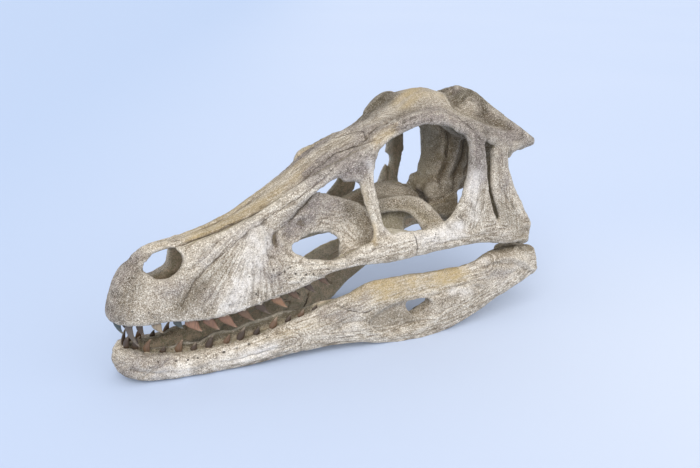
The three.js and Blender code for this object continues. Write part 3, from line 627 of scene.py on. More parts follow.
        (-26.4, 26.5, 43.6, 0.45), (-104, 9, 50, 0.36), (-72, 16.6, 47, 0.36), (-50, 20, 50, 0.36),
        (-39.4, 23.4, 48.6, 0.4), (-58, 20, 45, 0.32), (43, 39, 56.6, 0.36), (46.6, 39.6, 58.6, 0.34),
        (49.4, 39.9, 57.4, 0.36), (47.4, 39.8, 60.6, 0.3), (66, 40.6, 60, 0.36), (-38.4, 23, 52.3, 0.5),
        (-35.8, 24, 49.6, 0.45), (-33, 24.2, 50.7, 0.55), (-30.9, 25, 46.9, 0.45), (-27.6, 25.6, 48.9, 0.6),
        (-24.9, 26.4, 45.4, 0.45), (-22.1, 26.4, 47.6, 0.6), (-18.4, 27, 47.4, 0.5), (-30, 24.6, 52.4, 0.4),
        (-44, 10.6, 79.5, 0.36), (-10, 12, 96, 0.36),
    ],
}

# The lower jaw halves. The left one is whole and deep behind the teeth, and the right one has lost
# its lower rear.
jaws = {
    "faceSize": 0.64,
    "fillRounds": 10,
    "ironRounds": 5,
    "squareness": 0.62,
    "around": 30,
    "wallInner": 0.9,
    "front": [
        (-113.6, 0, 7.4, -110, 0, 16.6, 7.6, 0.2), (-112.2, 3.6, 4.6, -109.4, 3.4, 17.8, 8, 0.6),
        (-108.4, 6.8, 2.8, -107, 6.8, 17.6, 8.4, 0.9), (-99, 9.8, 0.6, -99.4, 10, 15, 8.4, 1.1),
        (-78, 14.2, 0.2, -78, 14.4, 12.8, 8, 1.2), (-52, 19, 0.8, -52, 19.4, 15.6, 7.6, 1.2),
    ],
    "leftRear": [
        (-26, 24, 3.8, -26, 24.4, 23.4, 7, 1), (0, 28.8, 3.8, -1, 28.8, 32, 7, 1),
        (16, 31.4, 1, 13, 31.4, 37.6, 7, 1.6), (32, 33.4, -1.8, 32, 34.2, 38.6, 7, 1.6),
        (50, 34.8, -2.4, 52, 36, 37.4, 7.5, 1.6), (74, 37, 5.8, 72, 38.4, 38.4, 8.6, 1.6),
        (92, 38.4, 14.4, 86, 39.2, 43.2, 10.2, 1), (108, 39, 21.2, 101, 39.4, 43.4, 12, 0),
        (118, 39, 25.6, 114.6, 39.2, 41.6, 9, 0),
    ],
    "rightRear": [
        (-26, 24, 0.2, -26, 24.4, 21.6, 7, 1), (0, 28.4, -1.6, -1, 28.8, 29.4, 7, 1),
        (17, 30.6, -1.6, 13, 31.4, 34.2, 7, 1.4), (31.6, 33, 7, 30, 34, 37, 7, 1.2),
        (48, 34.6, 15.6, 48, 36, 38.6, 7, 1), (64, 36.4, 28, 64, 37.6, 39.4, 7, 0.8),
        (82, 38.2, 34.4, 82, 39, 42.6, 8, 0.4), (98, 38.8, 33, 98, 39.4, 43.8, 10, 0),
        (115.6, 39, 33.4, 113.6, 39.4, 42.2, 8, 0),
    ],
    "innerRidge": [
        (96, 34, 34, 96, 34, 43, 8, 0), (106, 31, 33, 106, 31, 42.6, 9, 0),
        (115, 32, 34, 114, 32, 41.6, 7, 0),
    ],
    # a low wall inside the tooth row
    "toothWall": [
        (-100, 5.4, 7, -100, 5.6, 16.4, 2.4, 0), (-90, 7, 5, -90, 7.4, 15.4, 2.4, 0),
        (-82, 8.6, 5, -82, 9, 17, 2.4, 0), (-75, 10, 5, -75, 10.4, 16, 2.4, 0),
        (-66, 11.6, 5, -66, 12, 20, 2.4, 0), (-58, 13, 6, -58, 13.6, 19.8, 2.4, 0),
        (-50, 14.6, 8, -50, 15.2, 22.6, 2.4, 0), (-41, 16.4, 9, -41, 17, 24, 2.4, 0),
        (-33, 18, 11, -33, 18.6, 26, 2.4, 0), (-22, 20.4, 14, -22, 20.8, 26.6, 2.4, 0),
        (-13, 22.4, 18, -13, 22.8, 28.4, 2.4, 0), (-4, 24.4, 20, -4, 24.8, 29.6, 2.4, 0),
    ],
    "windows": {
        "hole": (
            [(32.6, 24.2), (37, 24.8), (42.4, 24.4), (45.8, 22.8), (46.6, 20.4), (44.4, 17.8), (41.4, 15.4),
             (38.4, 13.8), (35, 16.8), (33, 20.4)], (24, 52), -1),
    },
    "hollow": {"middle": (29, 16), "length": 19, "height": 10, "depth": 3.2, "edge": (1.15, 0.5)},
    "chinGap": 0.2,
    "hinge": {"x": 108, "z": 46.2, "radius": 4.6, "out": 34, "length": 24},
    "creases": {
        "upperRidge": (
            [(71, 40, 38.5), (78.7, 40.6, 40), (86.7, 43.7, 40.3), (96.2, 44.2, 39.5), (105.6, 44.7, 35.3),
             (114.3, 43.2, 28.3)], 1.8, -0.9, 0),
        "underRidge": (
            [(73, 41, 35.6), (80, 42, 37), (88, 44, 37.2), (97, 44.6, 35.6), (105, 44.8, 31.4),
             (112, 43.6, 26)], 1.6, 0.5, 0.12),
        "fossaEdge": ([(10, 35, 17), (18, 36, 23), (28, 37, 25.6), (36, 38, 26.4)], 0.8, -0.4, 0.35, -1),
        "rearHollow": ([(86, 43, 31), (92, 44, 29.4), (98, 44, 28.4)], 3.4, 0.9, 0),
        "lobe": ([(63, 41.6, 27), (72, 43, 28.6), (78, 44, 27)], 1.2, -0.5, 0, -1),
        "rearKnob": ([(101, 42, 43.6), (103, 41, 44)], 1.6, -1, 0),
        "windowArch": (
            [(43.6, 39.5, 25.1), (56.7, 40.9, 26.3), (64.3, 41.8, 27.9), (68.9, 42.5, 28.4),
             (74.2, 43.4, 25.8), (78.5, 43.6, 21.2), (78.1, 42.9, 16.7)], 1.4, 0.5, 0.12, -1),
        "angular": (
            [(12.6, 35.7, 24), (8.8, 35, 22), (-1.7, 32.4, 24.6), (-7.4, 29.9, 28.4)], 0.9, 0.4, 0.5),
        "lowerStep": (
            [(-8, 31.9, 14.9), (-3.7, 32.7, 17.7), (1.7, 33.8, 18.6), (9.9, 35.4, 16.6), (15.3, 35.6, 10.6),
             (23.8, 36.3, 6.3)], 1.4, 0.6, 0.12, -1),
        "dentaryGroove": (
            [(-96, 14.6, 11.6), (-80, 17.8, 10.8), (-62, 21, 12.6), (-44, 25, 16.4),
             (-26, 28.4, 21)], 1.6, 0.35, 0),
        "chinGroove": (
            [(-110, 10, 9.6), (-104, 12.6, 8.4), (-97.6, 14, 9.6), (-92, 15.4, 12)], 1, 0.5, 0.5),
        "chinGrooveLow": ([(-106, 11, 5.4), (-101, 13.4, 7.4), (-97, 14.4, 6)], 0.9, 0.4, 0.4),
        "plateFront": ([(-15.3, 22.5, -3.8), (-11.1, 22.5, 2.1), (-7.5, 22.5, 8.2)], 0.8, 0.4, 1, 1),
        "plateRear": ([(-0.2, 25, -2.3), (2.9, 25, 3.5), (6, 25, 10.4)], 0.8, 0.4, 1, 1),
        "plateTop": ([(-13.7, 22.5, 11.4), (-8.2, 22.5, 6)], 0.8, 0.4, 1, 1),
        "plateMiddle": ([(-5.5, 24, 13.4), (0.1, 24, 8.1)], 0.8, 0.4, 1, 1),
        "plateEnd": ([(16.8, 27.5, 15.1), (23.5, 27.5, 9.5)], 0.8, 0.4, 0.8, 1),
        "lowerCrease": (
            [(-66, 21.5, 5.8), (-53.2, 23.9, 8), (-40.4, 26.2, 9.7), (-29.8, 27.8, 9.9)], 0.9, 0.3, 0.35),
    },
    "pits": [
        (-106, 10.8, 12.4, 0.4), (-101.4, 13.2, 10.6, 0.36), (-97.4, 14.2, 12.2, 0.42),
        (-89, 16.3, 11.4, 0.5), (-83.3, 17.4, 10.9, 0.4), (-78.5, 18.2, 11.1, 0.42),
        (-74.5, 18.9, 11.5, 0.4), (-65.7, 20.6, 12.1, 0.55), (-59.1, 21.7, 13.2, 0.46),
        (-53, 22.8, 14.3, 0.5), (-44, 24.6, 16.4, 0.36), (-104, 11.6, 7, 0.32), (62, 41, 20, 0.36),
        (94, 44, 30, 0.36),
    ],
}

# The teeth, from the front of a row backwards: (x, out, z at the bone's edge, crown length, base length).
teeth = {
    "flatness": 0.52,
    "taper": 0.84,
    "thinning": 0.38,
    "wear": 0.05,
    "belly": 0.16,
    "neck": 0.07,
    "bend": ([2, 6], [2.9, 1.7]),  # by a tooth's place in the row, as slant below
    "keel": 0.25,
    "roughness": 0.05,
    "roughSize": 0.8,
    "socket": {"room": 0.7, "opening": 3.2, "keel": -0.3},
    "upper": {
        "root": 4.6,
        "down": -1,
        "slant": ([2, 5, 9], [0.34, 0.7, 0.85]),
        "places": [
            (-112.6, 3, 34.4, 8, 3.6), (-108, 6.7, 33.2, 13.4, 3.4), (-103.4, 8.9, 32.6, 8.4, 3),
            (-95.8, 11.4, 32.3, 6.4, 4.4), (-86, 13.2, 31.6, 5, 3.6), (-79.4, 14.2, 30.6, 7.2, 6),
            (-71.2, 15.6, 30.2, 7.4, 5.4), (-63.4, 17, 30.8, 8.2, 5.8), (-54.2, 18.6, 32.2, 7.4, 5.2),
            (-45.8, 20.2, 34.2, 7, 4.6), (-37, 21.7, 36.4, 6.8, 5), (-28.8, 23.2, 38.6, 6.2, 4.4),
            (-20.8, 24.7, 41.2, 5.6, 4), (-13.2, 26.2, 43.8, 5, 3.6),
        ],
        "tints": "slate grey umber tan slate red red red brown umber amber brown umber brown",
    },
    "lower": {
        "root": 4,
        "down": 1,
        "slant": ([0], [0.4]),
        "places": [
            (-109.4, 2.6, 17, 8.6, 2.8), (-105.6, 5.2, 16.8, 7.6, 3), (-100.8, 7.6, 15.4, 7, 3.2),
            (-93.4, 9.4, 14, 3.4, 3), (-85.8, 10.8, 13.2, 6.4, 3.4), (-78.8, 12.6, 12.8, 4.4, 3),
            (-71.4, 14.2, 13.2, 6.6, 3.6), (-62.4, 15.8, 14, 4.8, 3.2), (-55.6, 17.4, 15, 7, 3.8),
            (-47.4, 19, 16.6, 4.4, 3.2), (-38.8, 20.6, 18.8, 6, 3.8), (-31, 22, 20.8, 4, 3),
            (-24.2, 23.4, 22.8, 4.2, 3.2), (-17, 24.6, 24.6, 3.8, 3),
        ],
        "tints": "umber umber brown umber brown umber umber brown umber umber brown umber brown umber",
    },
    "colours": {
        "slate": (72, 80, 78), "grey": (104, 94, 84), "tan": (168, 150, 126), "red": (142, 106, 84),
        "amber": (148, 112, 84), "brown": (108, 84, 64), "umber": (76, 62, 50),
    },
}


# How the skin lies to a line of points in space: the distance along the skin, the side of the line,
# how far along it, and how far the line lies off the skin. side is -1 for left and 1 for right.
def besideLine(points, normals, line, side):
    line = np.array(line, float) * (1, side, 1)
    step = line[1:] - line[:-1]
    reach = np.sqrt((step**2).sum(1))
    offset = points[:, None] - line[:-1]
    t = np.clip((offset * step).sum(2) / reach**2, 0, 1)
    gap = offset - t[..., None] * step
    pick = np.arange(len(points)), (gap**2).sum(2).argmin(1)
    gap = gap[pick]
    away = (gap * normals).sum(1)
    gap = gap - away[:, None] * normals
    turn = (np.cross(step[pick[1]], gap) * normals).sum(1) * side
    along = np.append(0, np.cumsum(reach))[pick[1]] + t[pick] * reach[pick[1]]
    return np.sqrt((gap**2).sum(1)), np.where(turn < 0, -1, 1), along, np.abs(away)


# The points within some millimetres of a line's box.
def nearBox(points, line, side, reach):
    line = np.array(line, float) * (1, side, 1)
    return ((points > line.min(0) - reach) & (points < line.max(0) + reach)).all(1)


# The skin of old bone, in millimetres. A fade is two distances: nothing of the mark is left at the
# first, and all of it counts up to the second.
skin = {
    "wander": 0.55,
    "wanderSize": 4,
    "wanderSeeds": (3.1, 41.7, 77.3),
    "creaseFade": (3, 1.8),  # off the skin
    "crackFade": (2.6, 1.8),  # off the skin
    "crackReach": (2.6, 1.4),  # beside the line
    "crackTaper": 3,
    "pitDepth": 1.1,  # this and the next two are in radii of the pit
    "pitWidth": 1.3,
    "pitReach": (4.5, 3),
    "pitOff": 2.2,  # off the skin
    "bumps": [(0.42, 13, 5), (0.2, 5, 2), (0.1, 2.4, 8)],  # (height, size, seed)
    "grain": 0.26,
}


# Points shifted a little by noise, so that a line drawn near them wanders as a suture does.
def wandering(points):
    shift = [noise(points / skin["wanderSize"] + seed) for seed in skin["wanderSeeds"]]
    return points + skin["wander"] * np.stack(shift, -1)


# Creases and pits as heights on the skin: each is depth * exp(-(distance / width)^2).
def creaseLift(points, normals, creases, pits):
    lift = np.zeros(len(points))
    moved = wandering(points)
    for line, width, depth, _, *only in creases.values():
        for side in only or bothSides:
            near = nearBox(points, line, side, 3 * width + 2)
            distance, _, _, away = besideLine(moved[near], normals[near], line, side)
            lift[near] -= depth * np.exp(-((distance / width) ** 2)) * smoothStep(*skin["creaseFade"], away)
    for x, out, z, radius in pits:
        for side in bothSides:
            gap = lengthOf(points - (x, out * side, z))[:, 0]
            dent = np.exp(-((gap / (skin["pitWidth"] * radius)) ** 2)) * (normals[:, 1] * side > 0)
            lift -= skin["pitDepth"] * radius * dent
    return lift


# What the finish needs to draw thin cracks between the corners of a mesh: the distance to the nearest
# line with its side as a sign, which is straight across a face, and where it counts. Neighbouring lines
# take turns among three layers.
def writeCracks(piece, points, normals, creases):
    layers, farOff, boxReach = 3, 3.0, 5
    offset = np.full((len(points), layers), farOff)
    counts = np.zeros((len(points), layers))
    moved = wandering(points)
    taper = skin["crackTaper"]
    lines = [crease for crease in creases.values() if crease[3] > 0]
    for number, (line, _, _, dark, *only) in enumerate(lines):
        layer = number % layers
        total = lengthOf(np.diff(np.array(line, float), axis=0)).sum()
        for side in only or bothSides:
            near = np.flatnonzero(nearBox(points, line, side, boxReach))
            distance, turn, along, away = besideLine(moved[near], normals[near], line, side)
            ends = smoothStep(0, taper, along) * smoothStep(total, total - taper, along)
            off = smoothStep(*skin["crackFade"], away)
            count = smoothStep(*skin["crackReach"], distance) * ends * off * dark
            better = distance < np.abs(offset[near, layer])
            offset[near[better], layer] = (distance * turn)[better]
            counts[near[better], layer] = count[better]
    writeValues(piece, "crack", offset)
    writeValues(piece, "crackCounts", counts)


# What the finish needs to draw pits: the way from the nearest pit along the skin, in radii, and where
# it counts. Each pit has a darkness of its own, from faint to 1.
def writePits(piece, points, normals, pits):
    farOff, faint = 9.0, 0.45
    offset = np.full((len(points), 3), farOff)
    counts = np.zeros(len(points))
    for number, (x, out, z, radius) in enumerate(pits):
        dark = faint + (1 - faint) * cornerNumber(number, 3, 7)
        for side in bothSides:
            gap = (points - (x, out * side, z)) / radius
            away = (gap * normals).sum(1, keepdims=True)
            gap = gap - away * normals
            distance = lengthOf(gap)[:, 0]
            near = (distance < skin["pitReach"][0]) & (np.abs(away[:, 0]) * radius < skin["pitOff"])
            near &= distance < lengthOf(offset)[:, 0]
            offset[near] = gap[near]
            counts[near] = dark * smoothStep(*skin["pitReach"], distance)[near]
    writeValues(piece, "pit", offset)
    writeValues(piece, "pitCounts", counts)


# The grain of the bone runs along these lines, within a reach in millimetres. On the side of the snout
# it fans out from one place. It fades where no run is near, and where two runs meet.
grain = {
    "fan": {
        "middle": (-43, 78), "from": (-48, 19, 56), "reach": 21, "weight": 1.3, "along": 0.6, "across": 26,
    },
    "fade": (0.02, 0.25),
    "meeting": (0.02, 0.2),
    "fibres": (0.11, 0.75, 1),
    "fineFibres": (0.16, 1.5, 1),
    "fineHeight": 0.6,
    "runs": {
        "nose": ([(-113, 3, 36), (-111, 4, 50), (-105, 4, 62)], 8),
        "nasal": ([(-98, 2, 66), (-70, 3, 71), (-50, 5, 77), (-25, 8, 90), (0, 9, 101), (30, 8, 114)], 9),
        "upperBar": ([(-46, 13, 76), (-20, 16, 87), (0, 18, 95), (16, 20, 101)], 6),
        "lowerBar": (
            [(-30, 24, 49), (-5, 29, 50), (20, 33, 55), (46, 37, 56), (78, 42, 56), (106, 41, 52)], 8),
        "lacrimal": ([(15, 22, 97), (16, 22, 90), (17, 24, 80), (19, 27, 67), (20, 30, 60)], 6),
        "brow": ([(12, 18, 105), (30, 16, 112), (48, 25, 119), (62, 34, 118)], 7),
        "postorbital": ([(68, 41, 62), (70, 41, 80), (70, 40, 98), (66, 37, 112)], 8),
        "quadratojugal": ([(98, 42, 54), (95, 42, 70), (92, 40, 90), (92, 38, 100)], 7),
        "temporal": ([(66, 36, 115), (82, 37, 108), (96, 35, 102), (108, 33, 101)], 6),
        "crest": ([(86, 2, 127), (92, 12, 124), (98, 22, 117), (106, 31, 108), (113, 36, 100)], 7),
        "braincase": ([(82, 14, 116), (84, 15, 96), (86, 12, 74)], 14),
        "wing": ([(60, 10, 66), (80, 16, 68), (100, 33, 76)], 12),
        "wall": ([(-30, 18, 66), (-10, 17, 78), (6, 14, 74), (14, 16, 60)], 9),
        "jawFront": ([(-113, 4, 10), (-90, 14, 7), (-60, 20, 8), (-30, 26, 13)], 8),
        "jawUpper": ([(-30, 27, 22), (0, 32, 30), (30, 37, 36), (60, 39, 36), (80, 41, 38)], 7),
        "jawLower": ([(-20, 30, 8), (20, 36, 4), (50, 38, 6), (80, 42, 16), (112, 42, 28)], 6),
    },
}


# Places in the grain, as (along it, across it, a number for the run), where the strongest run wins.
def writeGrain(piece, points, normals):
    best = np.zeros(len(points))
    second = np.zeros(len(points))
    places = np.zeros((len(points), 3))
    apart = 31.0

    def offer(weight, along, across, number):
        wins = weight > best
        second[:] = np.where(wins, best, np.maximum(second, weight))
        places[wins] = np.stack([along, across, np.full(len(along), apart * number)], -1)[wins]
        best[:] = np.maximum(best, weight)

    fan = grain["fan"]
    for side in bothSides:
        dx = points[:, 0] - fan["middle"][0]
        dz = points[:, 2] - fan["middle"][1]
        gap = lengthOf(points - np.array(fan["from"]) * (1, side, 1))[:, 0]
        weight = fan["weight"] * np.exp(-((gap / fan["reach"]) ** 2))
        offer(weight, np.hypot(dx, dz) * fan["along"], np.arctan2(dz, dx) * fan["across"], side)
        for number, (line, reach) in enumerate(grain["runs"].values()):
            distance, turn, along, away = besideLine(points, normals, line, side)
            gap = np.hypot(distance, away)
            offer(np.exp(-((gap / reach) ** 2)), along, distance * turn, side * (number + 2))
    counts = smoothStep(*grain["fade"], best) * smoothStep(*grain["meeting"], best - second)
    writeValues(piece, "grain", places)
    writeValues(piece, "grainCounts", counts)
    fine = noise(places * grain["fineFibres"] + 9)
    return counts * (noise(places * grain["fibres"]) + grain["fineHeight"] * fine)


# Where the bone is stained or pale, and where painted shade or painted light lies on it: (line, reach in
# millimetres, strength).
tones = {
    "ochre": [
        ([(-98, 2, 65), (-86, 3, 68)], 3.5, 0.45),
        ([(-72, 4, 71), (-50, 4, 77), (-36, 7, 84), (-23, 7, 91), (-10, 6, 97)], 6, 1),
        ([(4, 12, 101), (14, 14, 106)], 4.5, 0.3),
        ([(23, 18, 110), (29, 18, 113), (34, 20, 115)], 4.5, 1.2),
        ([(50, 6, 122), (60, 4, 127), (66, 12, 125)], 6, 0.9),
        ([(60, 38, 112), (72, 39, 110), (84, 38.5, 105)], 3.5, 0.4),
        ([(13, 22, 88), (15, 24, 78), (16.5, 28, 66), (15, 31, 58)], 2.2, 1),
        ([(33, 10, 67), (43, 20, 69), (50, 33, 64)], 5, 0.7),
        ([(96, 42, 50), (109, 42, 50)], 5, 0.6),
        ([(6, 35, 35), (24, 37, 36), (44, 38, 35), (62, 40, 35)], 7.5, 1.1),
        ([(8, 36, 30), (30, 38, 30), (50, 40, 30)], 5, 0.7),
        ([(-60, 22, 12), (-30, 28, 18), (-10, 31, 22)], 5, 0.4),
    ],
    "pale": [
        ([(-44, 19, 68), (-49, 19.5, 57), (-55, 20.4, 46), (-59, 19.5, 37)], 9, 1),
        ([(-72, 15, 62), (-60, 13, 66), (-48, 14, 73)], 6, 0.6),
        ([(-80, 17, 37), (-60, 20, 37), (-40, 24, 40)], 5, 0.4),
        ([(40, 39.4, 58), (52, 40, 60), (60, 41, 62)], 7, 1, -1),
        ([(17, 22.4, 100), (19, 23, 94), (20, 24, 86)], 3.2, 0.8),
        ([(70, 42, 90), (68, 43, 82), (70, 43, 70)], 6, 0.8),
        ([(22, 26, 63), (32, 32, 62)], 6, 0.9),
        ([(60, 41.5, 26), (70, 43, 23)], 5, 0.8),
        ([(90, 44, 24), (104, 44, 32), (112, 42, 34)], 7, 0.5),
        ([(66, 40, 38), (80, 42, 40)], 4, 0.6),
        ([(94, 43, 90), (98, 42, 76)], 5, 0.4),
        ([(-100, 12, 7), (-70, 20, 7), (-40, 26, 10)], 7, 0.7),
        ([(-30, 27, 12), (0, 32, 12), (10, 34, 26)], 6, 0.5),
        ([(10, 33, 55), (30, 37, 57)], 5, 0.3),
    ],
    "brown": [
        ([(14, 36, 18), (24, 37, 15), (34, 37, 13)], 8, 0.6),
        ([(-84, 12, 58), (-78, 13, 54)], 4, 0.3),
        ([(-84, 15, 40), (-74, 15, 49), (-62, 16, 57)], 5, 0.8),
        ([(-112, 6, 40), (-106, 8, 50), (-100, 8, 58)], 8, 0.5),
        ([(76, 12, 125), (84, 10, 125), (90, 8, 125)], 6, 1.3),
        ([(80, 25, 113), (88, 25, 111), (96, 26, 110)], 5, 1.2),
        ([(40, 12, 118), (52, 14, 121)], 8, 0.5),
        ([(72, 20, 113), (84, 22, 109), (94, 24, 105)], 9, 0.8),
        ([(80, 12, 106), (82, 13, 90), (78, 11, 74), (73, 10, 62)], 22, 1),
        ([(38, 20, 116), (48, 24, 120), (58, 30, 120)], 13, 1, 1),
        ([(8, 17, 76), (16, 20, 66), (14, 24, 58)], 6, 0.6),
        ([(64, 39, 55), (84, 42, 53), (100, 42, 52)], 4, 0.4),
        ([(88, 42, 70), (98, 43, 60), (104, 42, 54)], 6, 0.6),
        ([(92, 40, 44), (104, 42, 44), (112, 42, 42)], 4.5, 1),
        ([(-112, 6, 6), (-100, 12, 12)], 5, 0.3),
        ([(24, 10, 70), (40, 12, 74), (54, 12, 72)], 9, 0.5),
    ],
    # painted shade: dark patches where shade falls, on the tooth wall, the jaw's rear knob, the far brow, the
    # palate struts and the crest
    "shade": [
        ([(-104, 4, 17), (-80, 9, 17), (-60, 13.2, 19), (-40, 17, 23), (-20, 21, 27)], 4, 1.2),
        ([(90, 38, 43), (98, 40, 43.6), (104, 41, 43)], 3, 0.8),
        ([(34, 14, 118), (44, 18, 121), (52, 22, 122)], 10, 1.1, 1),
        ([(26, 10, 66), (40, 14, 67), (46, 24, 65), (50, 34, 62)], 4, 0.9),
        ([(33, 10, 70), (43, 19, 70), (50, 31, 66)], 6, 0.6, -1),
        ([(82, 8, 124), (88, 8, 125.6), (93, 14, 121)], 6, 1),
        ([(84, 24, 112), (92, 25, 111)], 5, 0.7),
        ([(92, 18, 118), (100, 26, 112), (110, 34, 103)], 7, 0.4),
        ([(66, 36, 116), (76, 38, 111), (86, 38, 106)], 5, 0.4),
        ([(-66, 4, 72), (-46, 5, 79), (-26, 7, 90)], 6, 0.32),
        ([(58, 30, 117), (66, 36, 112), (72, 39, 104)], 4, 0.5),
    ],
    # painted light: the shaded inner face of the far jaw and the far wall of the nostril are painted lighter
    "lit": [
        ([(4, 25, 33), (14, 26, 36), (24, 28, 38)], 7, 1.1, 1),
        ([(-12, 22, 8), (0, 24, 10), (12, 26, 14)], 8, 0.5, 1),
        ([(-84, 8, 62), (-78, 9, 57)], 7, 0.8, 1),
    ],
    "grey": [
        ([(-114, 2, 40), (-113, 3, 52), (-104, 3, 62)], 10, 1),
        ([(-90, 14, 50), (-76, 15, 46), (-66, 16, 44)], 8, 0.55),
        ([(-10, 12, 95), (-2, 14, 99), (8, 17, 103), (16, 20, 100), (2, 20, 94)], 9, 1.2),
        ([(26, 6, 110), (38, 14, 116), (54, 22, 120), (60, 33, 119)], 9, 0.9),
        ([(38, 23, 115), (46, 27, 118), (54, 33, 118)], 6, 1.5),
        ([(30, 12, 116), (44, 20, 121), (58, 28, 122)], 12, 1.2, 1),
        ([(-20, 10, 91), (0, 10, 101), (20, 12, 109)], 7, 0.7),
        ([(72, 36, 114), (84, 36, 110), (96, 34, 106)], 6, 1.5),
        ([(88, 22, 112), (98, 24, 113), (106, 32, 106)], 8, 1.3),
        ([(-40, 16, 70), (-36, 18, 62), (-44, 20, 54), (-38, 23, 50)], 8, 0.6),
        ([(66, 38, 114), (72, 40, 110), (72, 42, 100), (70, 42, 92)], 8, 1.3),
        ([(84, 6, 126), (90, 12, 121), (86, 14, 116)], 8, 1.2),
        ([(96, 20, 116), (106, 30, 107), (113, 36, 103)], 7, 1.1),
        ([(84, 38, 100), (92, 38, 92), (90, 40, 80)], 6, 0.6),
        ([(78, 42, 58), (92, 43, 56)], 5, 0.3),
        ([(80, 42, 31), (92, 44, 30)], 5, 0.6),
        ([(-112, 5, 8), (-104, 10, 14), (-96, 14, 11)], 7, 0.8),
        ([(-70, 14, 60), (-50, 15, 70), (-36, 16, 77)], 5, 0.5),
        ([(-24, 18, 72), (-10, 18, 80), (4, 15, 76)], 9, 0.8),
        ([(-14, 30, 24), (0, 33, 22), (8, 34, 30)], 5, 0.5, -1),
    ],
}


# A tone is strength * exp(-(distance / reach)^2), made patchy by noise. hollow is how deep a point
# lies among its neighbours, from -1 on a ridge to 1 in a crease.
def writeTones(piece, points, normals, inward):
    fullHollow, farOff, patchSize, patchiness = 0.07, 2.2, 9, 0.5
    edges = readEdges(piece)
    pull = ((neighbourMean(points, edges) - points) * normals).sum(1)
    for _ in range(3):
        pull = 0.5 * pull + 0.5 * neighbourMean(pull[:, None], edges)[:, 0]
    writeValues(piece, "hollow", np.clip(pull / fullHollow, -1, 1))
    layers = {}
    for name, lines in tones.items():
        layer = np.zeros(len(points))
        for line, reach, strength, *only in lines:
            for side in only or bothSides:
                near = nearBox(points, line, side, farOff * reach)
                distance, _, _, away = besideLine(points[near], normals[near], line, side)
                gap = np.hypot(distance, away)
                layer[near] = np.maximum(layer[near], strength * np.exp(-((gap / reach) ** 2)))
        patchy = 0.75 + patchiness * roughness(points, patchSize, len(name))
        layers[name] = np.clip(layer * patchy, 0, 1)
    writeValues(piece, "tone", np.stack([layers[name] for name in ("ochre", "pale", "grey")], -1))
    for name in ("brown", "shade", "lit"):
        writeValues(piece, name, layers[name])
    writeValues(piece, "inner", np.clip(inward, 0, 1))


# The way along a tooth row at one tooth, from the tooth before it to the tooth after it.
def alongRow(row, index):
    places = np.array(row["places"])[:, :2]
    before, after = max(index - 1, 0), min(index + 1, len(places) - 1)
    return places[after] - places[before]


# A round-ended post through a tooth's place, rings by around by three. reach is the way past the bone's
# edge, and each row is (reach, length along the row, thickness, lean backwards).
def toothPost(row, index, side, rows, keel, around=26):
    x, out, z = row["places"][index][:3]
    back = alongRow(row, index)
    back = unit(np.array([back[0], back[1] * side, 0]))
    across = np.array([-back[1], back[0], 0]) * side
    reach, length, thickness, lean = rows.T[..., None, None]
    angle = np.linspace(0, 2 * np.pi, around, endpoint=False)[:, None]
    c, s = np.cos(angle), np.sin(angle)
    flat = np.sign(s) * np.abs(s) ** (1 + keel)
    middle = np.array([x, out * side, z]) + reach * np.array([0, 0, row["down"]]) + lean * back
    return middle + length / 2 * c * back + thickness / 2 * flat * across


# A tooth: with s from 0 at the bone's edge to 1 at the tip, its length is base * (1 - taper * s^2), its
# thickness base * (flatness - thinning * s^2.2), and it leans back by slant * crown * s^bend. Below the
# edge s goes on to -1, the end of the root, and the root's end and the tip are rounded off.
def makeTooth(name, row, index, side, tint):
    crown, base = row["places"][index][3:]
    rng = np.random.default_rng(100 + index + (50 if side > 0 else 0) + (200 if row["down"] > 0 else 0))
    worn = rng.uniform(0.0, teeth["wear"])
    s = np.concatenate([np.linspace(-1, -0.02, 9), np.linspace(0.03, 1, 22) ** 0.9])
    reach = np.where(s < 0, s * row["root"], s * crown)
    up = np.clip(s, 0, 1)
    length = base * (1 - (teeth["taper"] - worn) * up**2)
    thickness = base * (teeth["flatness"] - (teeth["thinning"] - worn) * up**2.2)
    rootFrom, tipFrom = -0.6, 0.93
    rootEnd = np.sqrt(np.clip(1 - ((rootFrom - s) / 0.42) ** 2, 0.02, 1))
    tipEnd = np.sqrt(np.clip(1 - ((s - tipFrom) / 0.075) ** 2, 0.015, 1))
    ends = np.where(s < rootFrom, rootEnd, np.where(s > tipFrom, tipEnd, 1))
    neck = 1 - teeth["neck"] * np.exp(-((s / 0.09) ** 2))
    length = length * (1 + teeth["belly"] * smoothStep(0.02, 0.3, up) * smoothStep(0.9, 0.4, up))
    lean = crown * np.interp(index, *row["slant"]) * up ** np.interp(index, *teeth["bend"])
    rows = np.stack([reach, length * ends * neck, thickness * ends * neck, lean], -1)
    grid = toothPost(row, index, side, rows, teeth["keel"])
    points, faces = closedTube(grid)
    piece = newObject(name, points, faces)
    height = np.append(np.repeat(s, grid.shape[1]), [-1, 1])
    rough = teeth["roughness"] * roughness(points * (1, 1, 0.35), teeth["roughSize"])
    points = points + readNormals(piece) * rough[:, None]
    writePoints(piece, points)
    colour = np.array(teeth["colours"][tint]) / 255 * rng.uniform(0.9, 1.08)
    writeValues(piece, "tint", np.tile(colour**2.2, (len(points), 1)))
    writeValues(piece, "height", height)
    smoothFaces(piece)
    return piece


# The room for a tooth's root, open past the bone's edge.
def socketPost(row, index, side):
    base = row["places"][index][4]
    socket = teeth["socket"]
    room = socket["room"]
    rows = np.array([
        (-row["root"] - room / 2, base + room, base * teeth["flatness"] + room, 0),
        (socket["opening"], base + room, base * teeth["flatness"] + room, 0),
    ])
    return closedTube(toothPost(row, index, side, rows, socket["keel"]))


# A rod with any outline: the outline's (a, b) points are carried along one axis from start to end.
def rod(outline, axis, start, end):
    outline = np.asarray(outline, float)
    grid = np.empty((2, len(outline), 3))
    others = [k for k in range(3) if k != axis]
    grid[:, :, others] = outline
    grid[:, :, axis] = np.array([[start], [end]])
    return closedTube(grid)


def circle(a, b, radius, count=48):
    angle = np.linspace(0, 2 * np.pi, count, endpoint=False)
    return np.stack([a + radius * np.cos(angle), b + radius * np.sin(angle)], -1)


